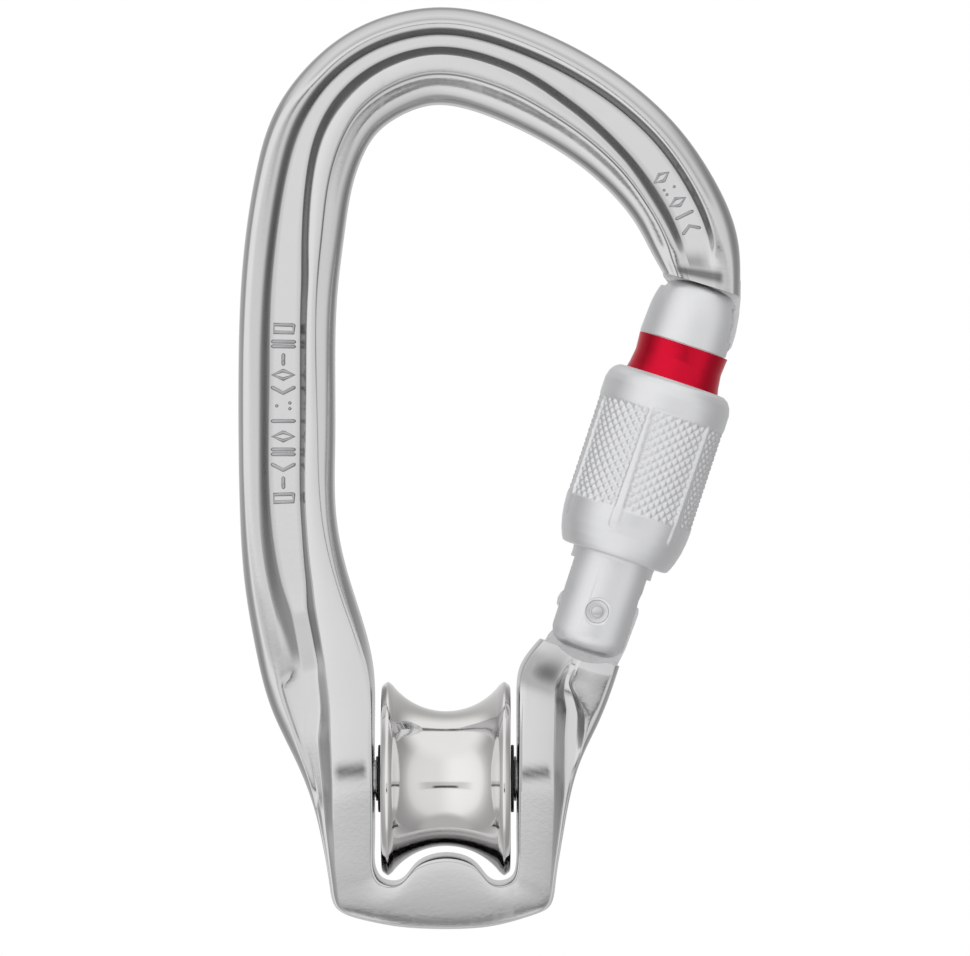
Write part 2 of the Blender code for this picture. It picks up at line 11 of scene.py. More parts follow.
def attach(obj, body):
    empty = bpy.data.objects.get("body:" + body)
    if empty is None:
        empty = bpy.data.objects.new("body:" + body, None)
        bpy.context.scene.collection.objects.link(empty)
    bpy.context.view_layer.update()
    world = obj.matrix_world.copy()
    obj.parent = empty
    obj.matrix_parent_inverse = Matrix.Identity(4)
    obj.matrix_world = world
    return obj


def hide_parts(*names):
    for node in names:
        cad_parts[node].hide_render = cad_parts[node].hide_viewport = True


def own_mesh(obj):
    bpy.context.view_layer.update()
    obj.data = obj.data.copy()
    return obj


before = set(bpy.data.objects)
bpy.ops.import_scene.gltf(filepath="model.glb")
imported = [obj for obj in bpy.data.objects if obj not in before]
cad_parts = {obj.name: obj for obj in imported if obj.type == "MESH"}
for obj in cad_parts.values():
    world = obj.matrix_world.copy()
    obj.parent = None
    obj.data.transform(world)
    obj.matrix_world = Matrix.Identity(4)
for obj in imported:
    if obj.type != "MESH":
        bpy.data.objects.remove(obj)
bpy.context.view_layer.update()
MM = 0.001

# ---------------------------------------------------------------------------
# Forged body. One hot forging in aluminium alloy, tumbled bright: top bend,
# fluted spine, the fork for the sheave, and the nose and hinge tongues that
# are machined at its two ends.
# ---------------------------------------------------------------------------

# Outer edge (x, z) and inner edge (x, z) at stations from the nose, over the
# top bend, down the spine, round the fork and up to the hinge, in mm.
BODY_EDGES = [
    ((39.25, -25.75), (29.0, -22.6)),
    ((39.0, -18.2), (27.3, -19.6)),
    ((35.9, -10.2), (25.2, -15.8)),
    ((30.1, -2.1), (20.9, -10.8)),
    ((20.1, 5.9), (13.4, -5.3)),
    ((10.0, 10.7), (5.6, -1.6)),
    ((-0.7, 12.9), (-0.7, -0.1)),
    ((-8.7, 11.5), (-4.4, -0.8)),
    ((-16.7, 6.8), (-8.5, -3.2)),
    ((-22.7, -0.8), (-11.0, -6.7)),
    ((-25.3, -8.8), (-12.6, -11.4)),
    ((-26.65, -16.8), (-13.6, -17.6)),
    ((-27.4, -25.0), (-14.5, -25.2)),
    ((-27.7, -35.0), (-14.8, -35.0)),
    ((-27.7, -45.0), (-14.8, -45.0)),
    ((-27.5, -55.0), (-14.7, -54.6)),
    ((-26.9, -64.0), (-13.2, -62.4)),
    ((-25.4, -73.0), (-10.9, -69.8)),
    ((-23.4, -80.6), (-9.6, -76.2)),
    ((-20.5, -86.8), (-9.5, -82.5)),
    ((-17.9, -93.0), (-9.5, -90.5)),
    ((-16.3, -99.5), (-9.5, -98.6)),
    ((-15.5, -104.2), (-9.3, -102.2)),
    ((-14.7, -107.0), (-8.4, -103.5)),
    ((-12.4, -108.3), (-6.9, -103.9)),
    ((-9.2, -109.1), (-5.4, -103.2)),
    ((-6.3, -109.6), (-4.2, -101.6)),
    ((-3.1, -109.87), (-2.3, -100.4)),
    ((0.1, -109.95), (0.0, -100.0)),
    ((3.3, -109.85), (2.4, -100.4)),
    ((6.3, -109.5), (4.2, -101.6)),
    ((9.2, -108.8), (5.4, -103.2)),
    ((12.0, -107.9), (6.9, -103.9)),
    ((13.9, -106.8), (8.4, -103.5)),
    ((14.6, -104.0), (9.2, -102.2)),
    ((15.3, -99.4), (9.4, -98.4)),
    ((16.4, -93.2), (9.4, -91.5)),
    ((18.0, -87.6), (9.4, -85.0)),
    ((20.5, -82.3), (9.4, -78.6)),
    ((21.95, -78.7), (9.9, -75.0)),
    ((23.15, -75.1), (12.5, -71.4)),
]

# Forging gauge: at a station, where each line of the section lies as a share
# of the width from the outer edge, and how far it stands from the mid-plane.
# Lines: outer bead's two edges, top of the outer wall, web's two ends, top of
# the inner wall, inner bead's two edges, end of the inner facet. Heights: side,
# outer bead, outer wall, web, inner wall, inner bead, facet, inner side.
BODY_GAUGE = [
    (0.0, .12, .28, .33, .38, .60, .65, .68, .80, .93, 2.2, 4.6, 4.65, 4.65, 4.65, 4.6, 4.0, 2.6),
    (0.6, .13, .26, .31, .37, .62, .67, .70, .80, .925, 2.3, 4.8, 4.65, 4.5, 4.6, 4.8, 4.1, 2.8),
    (1.1, .16, .255, .275, .345, .625, .70, .72, .79, .92, 2.4, 5.0, 4.85, 4.0, 4.7, 5.0, 4.3, 3.0),
    (2.0, .175, .25, .265, .335, .61, .715, .735, .79, .90, 2.6, 5.15, 4.9, 3.8, 4.85, 5.15, 4.5, 3.1),
    (3.0, .165, .235, .25, .315, .575, .67, .69, .76, .885, 2.7, 5.2, 4.95, 3.75, 4.9, 5.2, 4.6, 3.2),
    (4.0, .155, .225, .243, .31, .495, .59, .61, .725, .87, 2.7, 5.2, 4.95, 3.7, 4.9, 5.2, 4.6, 3.2),
    (5.0, .15, .215, .238, .308, .42, .51, .53, .69, .86, 2.8, 5.2, 4.95, 3.7, 4.9, 5.2, 4.6, 3.2),
    (6.2, .145, .21, .235, .305, .41, .50, .52, .69, .86, 2.8, 5.2, 4.95, 3.7, 4.9, 5.2, 4.6, 3.2),
    (7.2, .15, .21, .235, .305, .415, .515, .535, .695, .87, 2.8, 5.2, 4.95, 3.7, 4.9, 5.2, 4.6, 3.2),
    (8.2, .15, .215, .238, .31, .43, .545, .565, .71, .87, 2.8, 5.2, 4.9, 3.7, 4.9, 5.2, 4.6, 3.2),
    (9.0, .09, .18, .235, .325, .465, .56, .58, .735, .87, 2.8, 5.2, 4.75, 3.7, 4.9, 5.2, 4.6, 3.2),
    (10.0, .075, .165, .24, .33, .515, .595, .615, .75, .87, 2.8, 5.2, 4.7, 3.7, 4.9, 5.2, 4.6, 3.2),
    (11.0, .07, .16, .24, .33, .565, .64, .66, .77, .88, 2.8, 5.2, 4.7, 3.7, 4.9, 5.2, 4.6, 3.2),
    (12.0, .07, .165, .24, .33, .62, .695, .71, .785, .885, 2.8, 5.2, 4.7, 3.7, 4.9, 5.2, 4.65, 3.2),
    (13.0, .065, .175, .235, .335, .635, .70, .715, .80, .89, 2.8, 5.2, 4.75, 3.7, 4.9, 5.2, 4.7, 3.2),
    (14.2, .065, .185, .235, .325, .635, .69, .705, .825, .89, 2.8, 5.2, 4.75, 3.7, 4.9, 5.25, 4.8, 3.2),
    (15.0, .075, .19, .235, .335, .635, .685, .70, .85, .90, 2.8, 5.2, 4.75, 3.7, 4.95, 5.35, 4.9, 3.2),
    (16.0, .095, .22, .25, .365, .595, .65, .665, .87, .90, 2.8, 5.2, 4.8, 3.7, 5.1, 5.6, 5.2, 3.2),
    (16.6, .10, .24, .275, .40, .535, .61, .625, .88, .91, 2.7, 5.1, 4.7, 3.75, 5.4, 5.9, 5.5, 3.2),
    (17.2, .105, .20, .305, .385, .52, .585, .60, .90, .93, 2.7, 4.95, 4.5, 4.15, 5.8, 6.2, 5.9, 3.3),
    (17.5, .11, .17, .29, .37, .51, .575, .59, .91, .94, 2.7, 4.9, 4.4, 4.25, 5.9, 6.3, 6.1, 3.4),
    (17.7, .11, .155, .185, .35, .49, .565, .58, .92, .95, 2.6, 4.85, 4.35, 4.28, 6.0, 6.35, 6.2, 3.5),
    (18.3, .11, .145, .18, .33, .44, .535, .55, .935, .96, 2.6, 4.8, 4.36, 4.36, 6.1, 6.47, 6.35, 3.6),
    (19.0, .08, .12, .17, .23, .30, .465, .48, .94, .965, 2.5, 4.75, 4.42, 4.45, 6.3, 6.62, 6.5, 3.8),
    (19.8, .05, .08, .12, .15, .20, .36, .375, .94, .965, 2.5, 4.3, 4.3, 4.4, 6.45, 6.77, 6.6, 4.0),
    (20.2, .03, .055, .08, .11, .15, .30, .315, .935, .965, 2.5, 3.9, 4.1, 4.3, 6.5, 6.82, 6.62, 4.0),
    (20.7, .02, .04, .06, .08, .11, .235, .25, .93, .965, 2.7, 4.1, 4.4, 4.8, 6.5, 6.82, 6.6, 4.0),
    (21.5, .015, .03, .045, .06, .08, .175, .19, .92, .96, 3.0, 4.8, 5.2, 5.6, 6.5, 6.82, 6.6, 4.0),
    (22.5, .012, .022, .035, .05, .065, .135, .15, .91, .955, 3.2, 5.1, 5.5, 5.9, 6.5, 6.8, 6.5, 4.0),
    (23.7, .010, .018, .025, .035, .045, .06, .07, .91, .955, 3.6, 5.6, 6.0, 6.3, 6.55, 6.8, 6.5, 4.0),
    (32.0, .010, .018, .025, .035, .045, .06, .07, .91, .955, 3.6, 5.6, 6.0, 6.3, 6.55, 6.8, 6.5, 4.0),
    (33.0, .012, .022, .035, .05, .065, .09, .10, .92, .955, 3.2, 5.2, 5.6, 6.0, 6.55, 6.8, 6.5, 4.0),
    (34.0, .015, .03, .045, .06, .08, .12, .135, .92, .955, 2.8, 4.7, 5.1, 5.6, 6.5, 6.82, 6.6, 4.0),
    (35.0, .02, .035, .05, .065, .09, .19, .205, .92, .955, 2.6, 4.0, 4.3, 4.7, 6.5, 6.82, 6.6, 4.0),
    (36.0, .025, .04, .055, .07, .10, .28, .295, .92, .955, 2.4, 3.4, 3.5, 3.7, 6.45, 6.8, 6.6, 4.0),
    (37.0, .03, .05, .07, .10, .24, .415, .43, .92, .955, 2.3, 3.6, 3.6, 3.55, 6.2, 6.62, 6.45, 4.0),
    (37.5, .055, .09, .11, .19, .33, .475, .49, .92, .96, 2.3, 4.0, 3.8, 3.4, 6.0, 6.5, 6.3, 4.0),
    (38.0, .06, .165, .18, .28, .39, .53, .545, .92, .96, 2.4, 4.3, 4.2, 3.25, 5.8, 6.3, 6.1, 3.9),
    (38.5, .06, .29, .31, .37, .46, .56, .575, .91, .96, 2.4, 4.4, 4.3, 3.15, 5.3, 5.9, 5.7, 3.7),
    (39.0, .06, .41, .43, .465, .50, .56, .60, .90, .96, 2.4, 4.45, 4.4, 3.4, 4.7, 5.1, 5.0, 3.3),
    (39.6, .06, .42, .44, .48, .52, .57, .61, .89, .955, 2.4, 4.5, 4.5, 4.4, 4.6, 4.75, 4.6, 3.0),
    (40.0, .07, .42, .44, .48, .52, .57, .61, .88, .95, 2.3, 4.2, 4.2, 4.15, 4.2, 4.3, 4.2, 2.8),
]
STATION_STEPS, LINE_STEPS = 10, 4
# A bead this wide, as a share of the width, has its full crown.
FULL_BEAD = 0.06
# The bottom of the fork thins out below this height, by this share a mm.
THIN_BELOW, THIN_RATE = -90.0, 0.0016
SHARP_ANGLE = 35.0


def smooth_slopes(knots, values):
    """Slopes of the natural cubic spline through values at knots."""
    count, step = len(knots), np.diff(knots)
    matrix, right = np.zeros((count, count)), np.zeros_like(values)
    matrix[0, :2], matrix[-1, -2:] = (2, 1), (1, 2)
    right[0] = 3 * (values[1] - values[0]) / step[0]
    right[-1] = 3 * (values[-1] - values[-2]) / step[-1]
    for i in range(1, count - 1):
        a, b = 1 / step[i - 1], 1 / step[i]
        matrix[i, i - 1:i + 2] = a, 2 * (a + b), b
        right[i] = 3 * ((values[i] - values[i - 1]) * a * a + (values[i + 1] - values[i]) * b * b)
    return np.linalg.solve(matrix, right)


def even_slopes(knots, values):
    """Slopes that keep each stretch of a curve inside its own two values."""
    rise = np.diff(values, axis=0) / np.diff(knots).reshape(-1, *([1] * (values.ndim - 1)))
    slopes = np.zeros_like(values)
    a, b = rise[:-1], rise[1:]
    same_way = a * b > 0
    slopes[1:-1] = np.where(same_way, 2 * a * b / np.where(same_way, a + b, 1.0), 0.0)
    slopes[0], slopes[-1] = rise[0], rise[-1]
    return slopes


def along_curve(knots, values, slopes, wanted):
    """The cubic curve with these values and slopes, read at the wanted places."""
    cell = np.clip(np.searchsorted(knots, wanted, side="right") - 1, 0, len(knots) - 2)
    shape = (-1, *([1] * (values.ndim - 1)))
    step = (knots[cell + 1] - knots[cell]).reshape(shape)
    t = (wanted - knots[cell]).reshape(shape) / step
    return ((2 * t**3 - 3 * t**2 + 1) * values[cell] + (t**3 - 2 * t**2 + t) * step * slopes[cell]
            + (3 * t**2 - 2 * t**3) * values[cell + 1] + (t**3 - t**2) * step * slopes[cell + 1])


def body_section(gauge):
    """Section lines (share, height), from the outer parting line to the inner one."""
    bo, bi, wt, w0, w1, wr, io, ii, fe, hs, hb, ht, hw, hr, hi, hf, hn = gauge

    def mix(a, b, t):
        return a + (b - a) * t

    crown = min(1.0, (bi - bo) / FULL_BEAD)
    return [
        (0, 0), (bo * 0.08, hs), (bo * 0.45, mix(hs, hb, 0.66)), (bo, hb - 0.16 * crown),
        (mix(bo, bi, 0.5), hb), (bi, hb - 0.08 * crown * (ht < hb)), (wt, ht),
        (mix(wt, w0, 0.75), mix(ht, hw, 0.86)), (w0, hw), (w1, hw),
        (mix(w1, wr, 0.3), mix(hw, hr, 0.2)), (wr, hr), (io, hi - 0.10),
        (mix(io, ii, 0.5), hi), (ii, hi - 0.06), (mix(ii, fe, 0.17), mix(hi, hf, 0.55)),
        (fe, hf), (0.985, hn), (1, 0),
    ]


def body_surface():
    """The forging's points as rows, each a closed loop round its section."""
    edges = np.array(BODY_EDGES, float).reshape(len(BODY_EDGES), 4)
    middle = (edges[:, :2] + edges[:, 2:]) / 2
    run = np.concatenate([[0.0], np.cumsum(np.linalg.norm(np.diff(middle, axis=0), axis=1))])
    places = np.linspace(0, len(edges) - 1, (len(edges) - 1) * STATION_STEPS + 1)
    reached = np.interp(places, np.arange(len(edges)), run)
    edge = along_curve(run, edges, smooth_slopes(run, edges), reached)
    knots = np.array([row[0] for row in BODY_GAUGE])
    lines = np.array([body_section(row[1:]) for row in BODY_GAUGE], float)
    shape = along_curve(knots, lines, even_slopes(knots, lines), places)
    keys = np.arange(lines.shape[1], dtype=float)
    steps = np.linspace(0, len(keys) - 1, (len(keys) - 1) * LINE_STEPS + 1)
    rows = []
    for (ox, oz, ix, iz), section in zip(edge, shape):
        curve = along_curve(keys, section, even_slopes(keys, section), steps)
        share, height = curve[:, 0], curve[:, 1]
        x, z = ox + (ix - ox) * share, oz + (iz - oz) * share
        height = height * (1 - THIN_RATE * np.clip(THIN_BELOW - z, 0.0, None))
        front = np.stack([x, -height, z], axis=1)
        back = np.stack([x, height, z], axis=1)[-2:0:-1]
        rows.append(np.concatenate([front, back]))
    return np.array(rows)


def grid_faces(rows, columns):
    """Faces of a tube of rows, each a closed loop of columns points."""
    i, j = np.meshgrid(np.arange(rows - 1), np.arange(columns), indexing="ij")
    k = (j + 1) % columns
    here, above = i * columns, (i + 1) * columns
    return np.stack([here + j, here + k, above + k, above + j], -1).reshape(-1, 4)


def make_piece(name, points, faces, sharp=SHARP_ANGLE):
    """An object from points in mm, with its faces turned outwards and smooth-shaded."""
    mesh = bpy.data.meshes.new(name)
    mesh.from_pydata([tuple(p) for p in np.asarray(points) * MM], [], [tuple(f) for f in faces])
    bm = bmesh.new()
    bm.from_mesh(mesh)
    bmesh.ops.recalc_face_normals(bm, faces=bm.faces)
    bm.to_mesh(mesh)
    bm.free()
    mesh.shade_smooth()
    mesh.set_sharp_from_angle(angle=math.radians(sharp))
    piece = bpy.data.objects.new(name, mesh)
    bpy.context.scene.collection.objects.link(piece)
    return piece


def extruded(outline, low, high):
    """Points and faces of an (x, z) outline carried along Y from low to high."""
    count = len(outline)
    points = [(x, y, z) for y in (low, high) for x, z in outline]
    sides = [(i, (i + 1) % count, count + (i + 1) % count, count + i) for i in range(count)]
    return points, sides + [tuple(range(count)), tuple(range(2 * count - 1, count - 1, -1))]


# Half the angle at a corner that is too flat to round.
NEARLY_STRAIGHT = math.radians(88)


def rounded(outline, radii, steps=6, closed=True):
    """An outline with each corner replaced by an arc of the given radius."""
    result, count = [], len(outline)
    for i, (corner, radius) in enumerate(zip(outline, radii)):
        here = Vector(corner)
        if radius <= 0 or (not closed and i in (0, count - 1)):
            result.append(tuple(here))
            continue
        to_last = (Vector(outline[i - 1]) - here).normalized()
        to_next = (Vector(outline[(i + 1) % count]) - here).normalized()
        half = math.acos(max(-1.0, min(1.0, to_last.dot(to_next)))) / 2
        if half > NEARLY_STRAIGHT:
            result.append(tuple(here))
            continue
        centre = here + (to_last + to_next).normalized() * (radius / math.sin(half))
        start = here + to_last * (radius / math.tan(half)) - centre
        end = here + to_next * (radius / math.tan(half)) - centre
        turn = start.angle_signed(end) if start.length else 0.0
        for k in range(steps + 1):
            result.append(tuple(centre + Matrix.Rotation(-turn * k / steps, 2) @ start))
    return result


def circle(steps):
    """The angles of a full turn in even steps."""
    return np.linspace(0, 2 * math.pi, steps, endpoint=False)


def turned(profile, steps):
    """Points and faces of a piece turned about Z from (radius, height) points."""
    points, faces, rings = [], [], []
    for r, z in profile:
        if r < 1e-6:
            rings.append([len(points)])
            points.append((0.0, 0.0, z))
            continue
        rings.append(list(range(len(points), len(points) + steps)))
        points += [(r * math.cos(a), r * math.sin(a), z) for a in circle(steps)]
    if len(rings[0]) > 1 or len(rings[-1]) > 1:
        rings.append(rings[0])
    for low, high in zip(rings, rings[1:]):
        for j in range(steps):
            k = (j + 1) % steps
            face = [low[j % len(low)], low[k % len(low)], high[k % len(high)], high[j % len(high)]]
            face = list(dict.fromkeys(face))
            if len(face) > 2:
                faces.append(face)
    return points, faces


def cut_away(piece, name, points, faces, place=Matrix()):
    """Machines a shape out of a piece for good."""
    tool = make_piece(name, points, faces)
    tool.matrix_world = place
    modifier = piece.modifiers.new(name, "BOOLEAN")
    modifier.operation, modifier.solver, modifier.object = "DIFFERENCE", "EXACT", tool
    bpy.context.view_layer.update()
    graph = bpy.context.evaluated_depsgraph_get()
    mesh = bpy.data.meshes.new_from_object(piece.evaluated_get(graph))
    piece.modifiers.remove(modifier)
    piece.data = mesh
    bpy.data.objects.remove(tool)
    mesh.shade_smooth()
    mesh.set_sharp_from_angle(angle=math.radians(SHARP_ANGLE))


def moved(points, place):
    """The points carried to a place, in mm."""
    return [tuple(place @ Vector(p)) for p in points]


# The gate leans from its hinge, the axle runs along X through the fork, and
# the gate's pin along Y. Each place turns a piece made about Z, in mm.
TILT = math.radians(18.2)
HINGE = Vector((20.1, 0, -67.7))
AXLE_Z = -90.1
QUARTER = math.pi / 2
GATE_PLACE = Matrix.Translation(HINGE) @ Matrix.Rotation(TILT, 4, "Y")
AXLE_PLACE = Matrix.Translation((0, 0, AXLE_Z)) @ Matrix.Rotation(QUARTER, 4, "Y")
PIN_PLACE = Matrix.Translation(HINGE) @ Matrix.Rotation(QUARTER, 4, "X")


def in_metres(place):
    """The same place with its shift in metres."""
    result = place.copy()
    result.translation = place.translation * MM
    return result


rows = body_surface()
count, around = rows.shape[:2]
faces = [tuple(f) for f in grid_faces(count, around)]
faces += [tuple(range(around)), tuple(range((count - 1) * around, count * around))]
forged_body = make_piece("forged_body", rows.reshape(-1, 3), faces)


def ramp(value, low, high):
    """Rises smoothly from 0 at low to 1 at high."""
    t = np.clip((value - low) / (high - low), 0.0, 1.0)
    return t * t * (3 - 2 * t)


def painted_shade_mask():
    """Painted shade and painted dark reflections on each point of the forging, by station and section line.
    """
    station = np.arange(count)[:, None] / STATION_STEPS
    line = np.minimum(np.arange(around), around - np.arange(around))[None, :] / LINE_STEPS

    def stretch(first, last, soft=0.4):
        return ramp(station, first, first + soft) * (1 - ramp(station, last - soft, last))

    def strip(first, last, soft=0.5):
        return ramp(line, first, first + soft) * (1 - ramp(line, last - soft, last))

    def spot(middle, size):
        return np.exp(-(((station - middle) / size) ** 2))

    outer_wall = ramp(line, 5.6, 6.3) * (1 - ramp(line, 7.6, 8.2))
    inner_wall = ramp(line, 8.8, 9.3) * (1 - ramp(line, 10.8, 11.3))
    everywhere = np.ones_like(station)
    layers = [
        # Painted shade on the flutes' walls and along the edges of the two beads.
        np.maximum(outer_wall, inner_wall) * stretch(0.9, 17.5),
        0.55 * strip(2.6, 3.4, 0.35) * stretch(1.5, 8.6),
        0.70 * strip(13.8, 15.1, 0.4) * stretch(1.5, 12.5, 1.0),
        # Painted shade on the outer and inner flanks.
        0.45 * (1 - ramp(line, 1.6, 2.6)) * everywhere,
        0.40 * ramp(line, 15.9, 16.6) * everywhere,
        # Painted shade where the flutes run out on the left cheek and start again on the right.
        0.30 * strip(7.8, 9.3) * stretch(16.5, 17.6, 0.15),
        0.60 * strip(9.6, 11.2) * stretch(17.4, 20.8),
        0.60 * strip(9.4, 11.2) * stretch(33.6, 39.0),
        0.75 * strip(5.6, 8.1) * stretch(37.2, 39.2),
        # A painted dark reflection across the end of the nose, and painted shade at the top of the right
        # cheek.
        1.5 * strip(4.0, 14.5, 1.0) * spot(0.25, 0.12),
        0.8 * strip(8.0, 10.0) * spot(0.55, 0.22),
        0.65 * strip(11.6, 16.6, 0.9) * stretch(38.1, 39.9, 0.5),
        1.35 * strip(10.9, 14.6, 1.7) * spot(39.05, 0.52),
    ]
    # A painted dark reflection along the crease across each cheek.
    for start, lean, first, last in ((19.58, 0.16, 12.15, 13.75), (36.60, -0.24, 12.2, 13.95)):
        middle = start + lean * (line - first) / (last - first)
        layers.append(1.3 * strip(first, last, 0.25) * spot(middle, 0.12))
    return np.max(np.array(layers), axis=0)


# Painted shade and painted reflections, kept as a point attribute of the forging.
painted_shade_values = forged_body.data.attributes.new("painted_shade", "FLOAT", "POINT")
painted_shade_values.data.foreach_set("value", painted_shade_mask().astype(np.float32).ravel())
axle_bore = turned([(0, -25), (2.55, -25), (2.55, 14.3), (0, 14.3)], 64)
cut_away(forged_body, "axle_bore", *axle_bore, place=in_metres(AXLE_PLACE))
barrel_swing = turned([(0, -9), (6.9, -9), (6.9, 9), (0, 9)], 128)
cut_away(forged_body, "barrel_swing", *barrel_swing, place=in_metres(PIN_PLACE))

nose_outline = rounded(
    [(-5.7, 47.5), (-5.6, 45.4), (-4.6, 44.7), (-2.7, 44.4), (-2.7, 40.6), (3.0, 38.8), (5.5, 37.7),
     (6.1, 39.0), (6.05, 41.0), (5.75, 43.2), (5.2, 45.6), (4.5, 47.8)],
    [0, 0.8, 0.8, 0.4, 0.4, 1.5, 0.4, 1.5, 2, 2, 2, 0])
nose_points, nose_faces = extruded(nose_outline, -1.9, 1.9)
nose_tongue = make_piece("nose_tongue", moved(nose_points, GATE_PLACE), nose_faces)
bulb_points, bulb_faces = extruded(
    rounded([(-2.6, 40.4), (4.6, 40.4), (4.6, 43.2), (-2.6, 43.2)], [0.6] * 4), -2.7, 2.7)
nose_bulb = make_piece("nose_bulb", moved(bulb_points, GATE_PLACE), bulb_faces)
hinge_outline = rounded(
    [(-5.6, -7.6), (-5.1, -5.0), (-4.6, -3.9), (-4.5, -1.4), (-5.35, -0.75), (-5.45, 0.1),
     (-5.3, 0.8), (-4.5, 2.1), (-2.6, 3.2), (-0.6, 3.2), (1.6, 2.6), (3.6, 2.3), (5.2, 2.1),
     (5.4, 1.3), (5.2, -3.7), (4.6, -7.6)],
    [0, 0.8, 0.6, 0.2, 0.3, 0.4, 0.4, 1.0, 1.0, 1.5, 2, 2, 0.3, 0.3, 2, 0])
tongue_points, tongue_faces = extruded(hinge_outline, -2.3, 2.3)
hinge_tongue = make_piece("hinge_tongue", moved(tongue_points, GATE_PLACE), tongue_faces)


def add_group(name, inputs, outputs):
    """A shader node group with the named float inputs and the outputs given."""
    group = bpy.data.node_groups.new(name, "ShaderNodeTree")
    for label, value in inputs.items():
        socket = group.interface.new_socket(label, in_out="INPUT", socket_type="NodeSocketFloat")
        socket.default_value = value
    for label, kind in outputs.items():
        group.interface.new_socket(label, in_out="OUTPUT", socket_type=kind)
    return group, group.nodes.new("NodeGroupInput"), group.nodes.new("NodeGroupOutput")


def add_node(tree, kind, values=None, **settings):
    """A shader node with the settings and input values given."""
    node = tree.nodes.new(kind)
    for key, value in settings.items():
        setattr(node, key, value)
    for key, value in (values or {}).items():
        node.inputs[key].default_value = value
    return node


def handled_metal_group():
    """Handling marks on bare metal: soft blotches of tone, fine scratches, and grain."""
    group, given, result = add_group(
        "handled_metal", {"Grain Scale": 2500.0, "Scratch Scale": 500.0, "Blotch Scale": 60.0},
        {"Blotches": "NodeSocketFloat", "Scratches": "NodeSocketFloat", "Grain": "NodeSocketFloat"})
    place = add_node(group, "ShaderNodeTexCoord")
    blotch = add_node(group, "ShaderNodeTexNoise", {"Detail": 4.0, "Roughness": 0.6})
    grain = add_node(group, "ShaderNodeTexNoise", {"Detail": 3.0, "Roughness": 0.65})
    stretch = add_node(group, "ShaderNodeMapping", {"Scale": (1.0, 1.0, 0.06), "Rotation": (0.3, 0.5, 0.2)})
    scratch = add_node(group, "ShaderNodeTexNoise", {"Detail": 2.0, "Roughness": 0.5, "Distortion": 0.4})
    thin = add_node(group, "ShaderNodeValToRGB")
    thin.color_ramp.elements[0].position, thin.color_ramp.elements[1].position = 0.60, 0.74
    link = group.links.new
    for node, label in ((blotch, "Blotch Scale"), (grain, "Grain Scale"), (scratch, "Scratch Scale")):
        link(given.outputs[label], node.inputs["Scale"])
    link(place.outputs["Object"], blotch.inputs["Vector"])
    link(place.outputs["Object"], grain.inputs["Vector"])
    link(place.outputs["Object"], stretch.inputs["Vector"])
    link(stretch.outputs["Vector"], scratch.inputs["Vector"])
    link(scratch.outputs["Fac"], thin.inputs["Fac"])
    link(blotch.outputs["Fac"], result.inputs["Blotches"])
    link(thin.outputs["Color"], result.inputs["Scratches"])
    link(grain.outputs["Fac"], result.inputs["Grain"])
    return group


HANDLED_METAL = handled_metal_group()


# How much rougher a scratch is than the metal round it.
SCRATCH_DEPTH = 0.075


def metal(name, dark, light, smooth, rough, grain=2500.0, grain_depth=0.00001, scratch=500.0,
          blotch=60.0, metallic=1.0):
    """Bare or anodised metal: tone and gloss vary in blotches, with scratches and grain."""
    material = bpy.data.materials.new(name)
    material.use_nodes = True
    tree = material.node_tree
    shader = tree.nodes["Principled BSDF"]
    shader.inputs["Metallic"].default_value = metallic
    marks = add_node(tree, "ShaderNodeGroup")
    marks.node_tree = HANDLED_METAL
    marks.inputs["Grain Scale"].default_value = grain
    marks.inputs["Scratch Scale"].default_value = scratch
    marks.inputs["Blotch Scale"].default_value = blotch
    tone = add_node(tree, "ShaderNodeMix", {"A": (*dark, 1), "B": (*light, 1)}, data_type="RGBA")
    gloss = add_node(tree, "ShaderNodeMapRange",
                     {"From Min": 0.3, "From Max": 0.7, "To Min": smooth, "To Max": rough})
    worn = add_node(tree, "ShaderNodeMath", {1: SCRATCH_DEPTH}, operation="MULTIPLY")
    total = add_node(tree, "ShaderNodeMath", operation="ADD")
    bump = add_node(tree, "ShaderNodeBump", {"Strength": 0.6, "Distance": grain_depth})
    link = tree.links.new
    link(marks.outputs["Blotches"], tone.inputs["Factor"])
    link(tone.outputs["Result"], shader.inputs["Base Color"])
    link(marks.outputs["Blotches"], gloss.inputs["Value"])
    link(marks.outputs["Scratches"], worn.inputs[0])
    link(worn.outputs["Value"], total.inputs[0])
    link(gloss.outputs["Result"], total.inputs[1])
    link(total.outputs["Value"], shader.inputs["Roughness"])
    link(marks.outputs["Grain"], bump.inputs["Height"])
    link(bump.outputs["Normal"], shader.inputs["Normal"])
    return material


def paint_shade_where(material, attribute, darker, rougher):
    """Paints shade into a metal: darkens its colour and roughens it where the mesh's attribute says so."""
    tree = material.node_tree
    shader = tree.nodes["Principled BSDF"]
    where = add_node(tree, "ShaderNodeAttribute", attribute_name=attribute)
    share = add_node(tree, "ShaderNodeMath", {1: darker}, operation="MULTIPLY")
    # The near black that painted shade mixes into the colour.
    shade = add_node(tree, "ShaderNodeMix", {"B": (0.02, 0.02, 0.022, 1)}, data_type="RGBA")
    more = add_node(tree, "ShaderNodeMath", {1: rougher}, operation="MULTIPLY")
    total = add_node(tree, "ShaderNodeMath", operation="ADD")
    link = tree.links.new
    link(where.outputs["Fac"], share.inputs[0])
    link(where.outputs["Fac"], more.inputs[0])
    for name, node, inlet, outlet in (
        ("Base Color", shade, "A", "Result"), ("Roughness", total, 0, "Value")):
        link(shader.inputs[name].links[0].from_socket, node.inputs[inlet])
        link(node.outputs[outlet], shader.inputs[name])
    link(share.outputs["Value"], shade.inputs["Factor"])
    link(more.outputs["Value"], total.inputs[1])


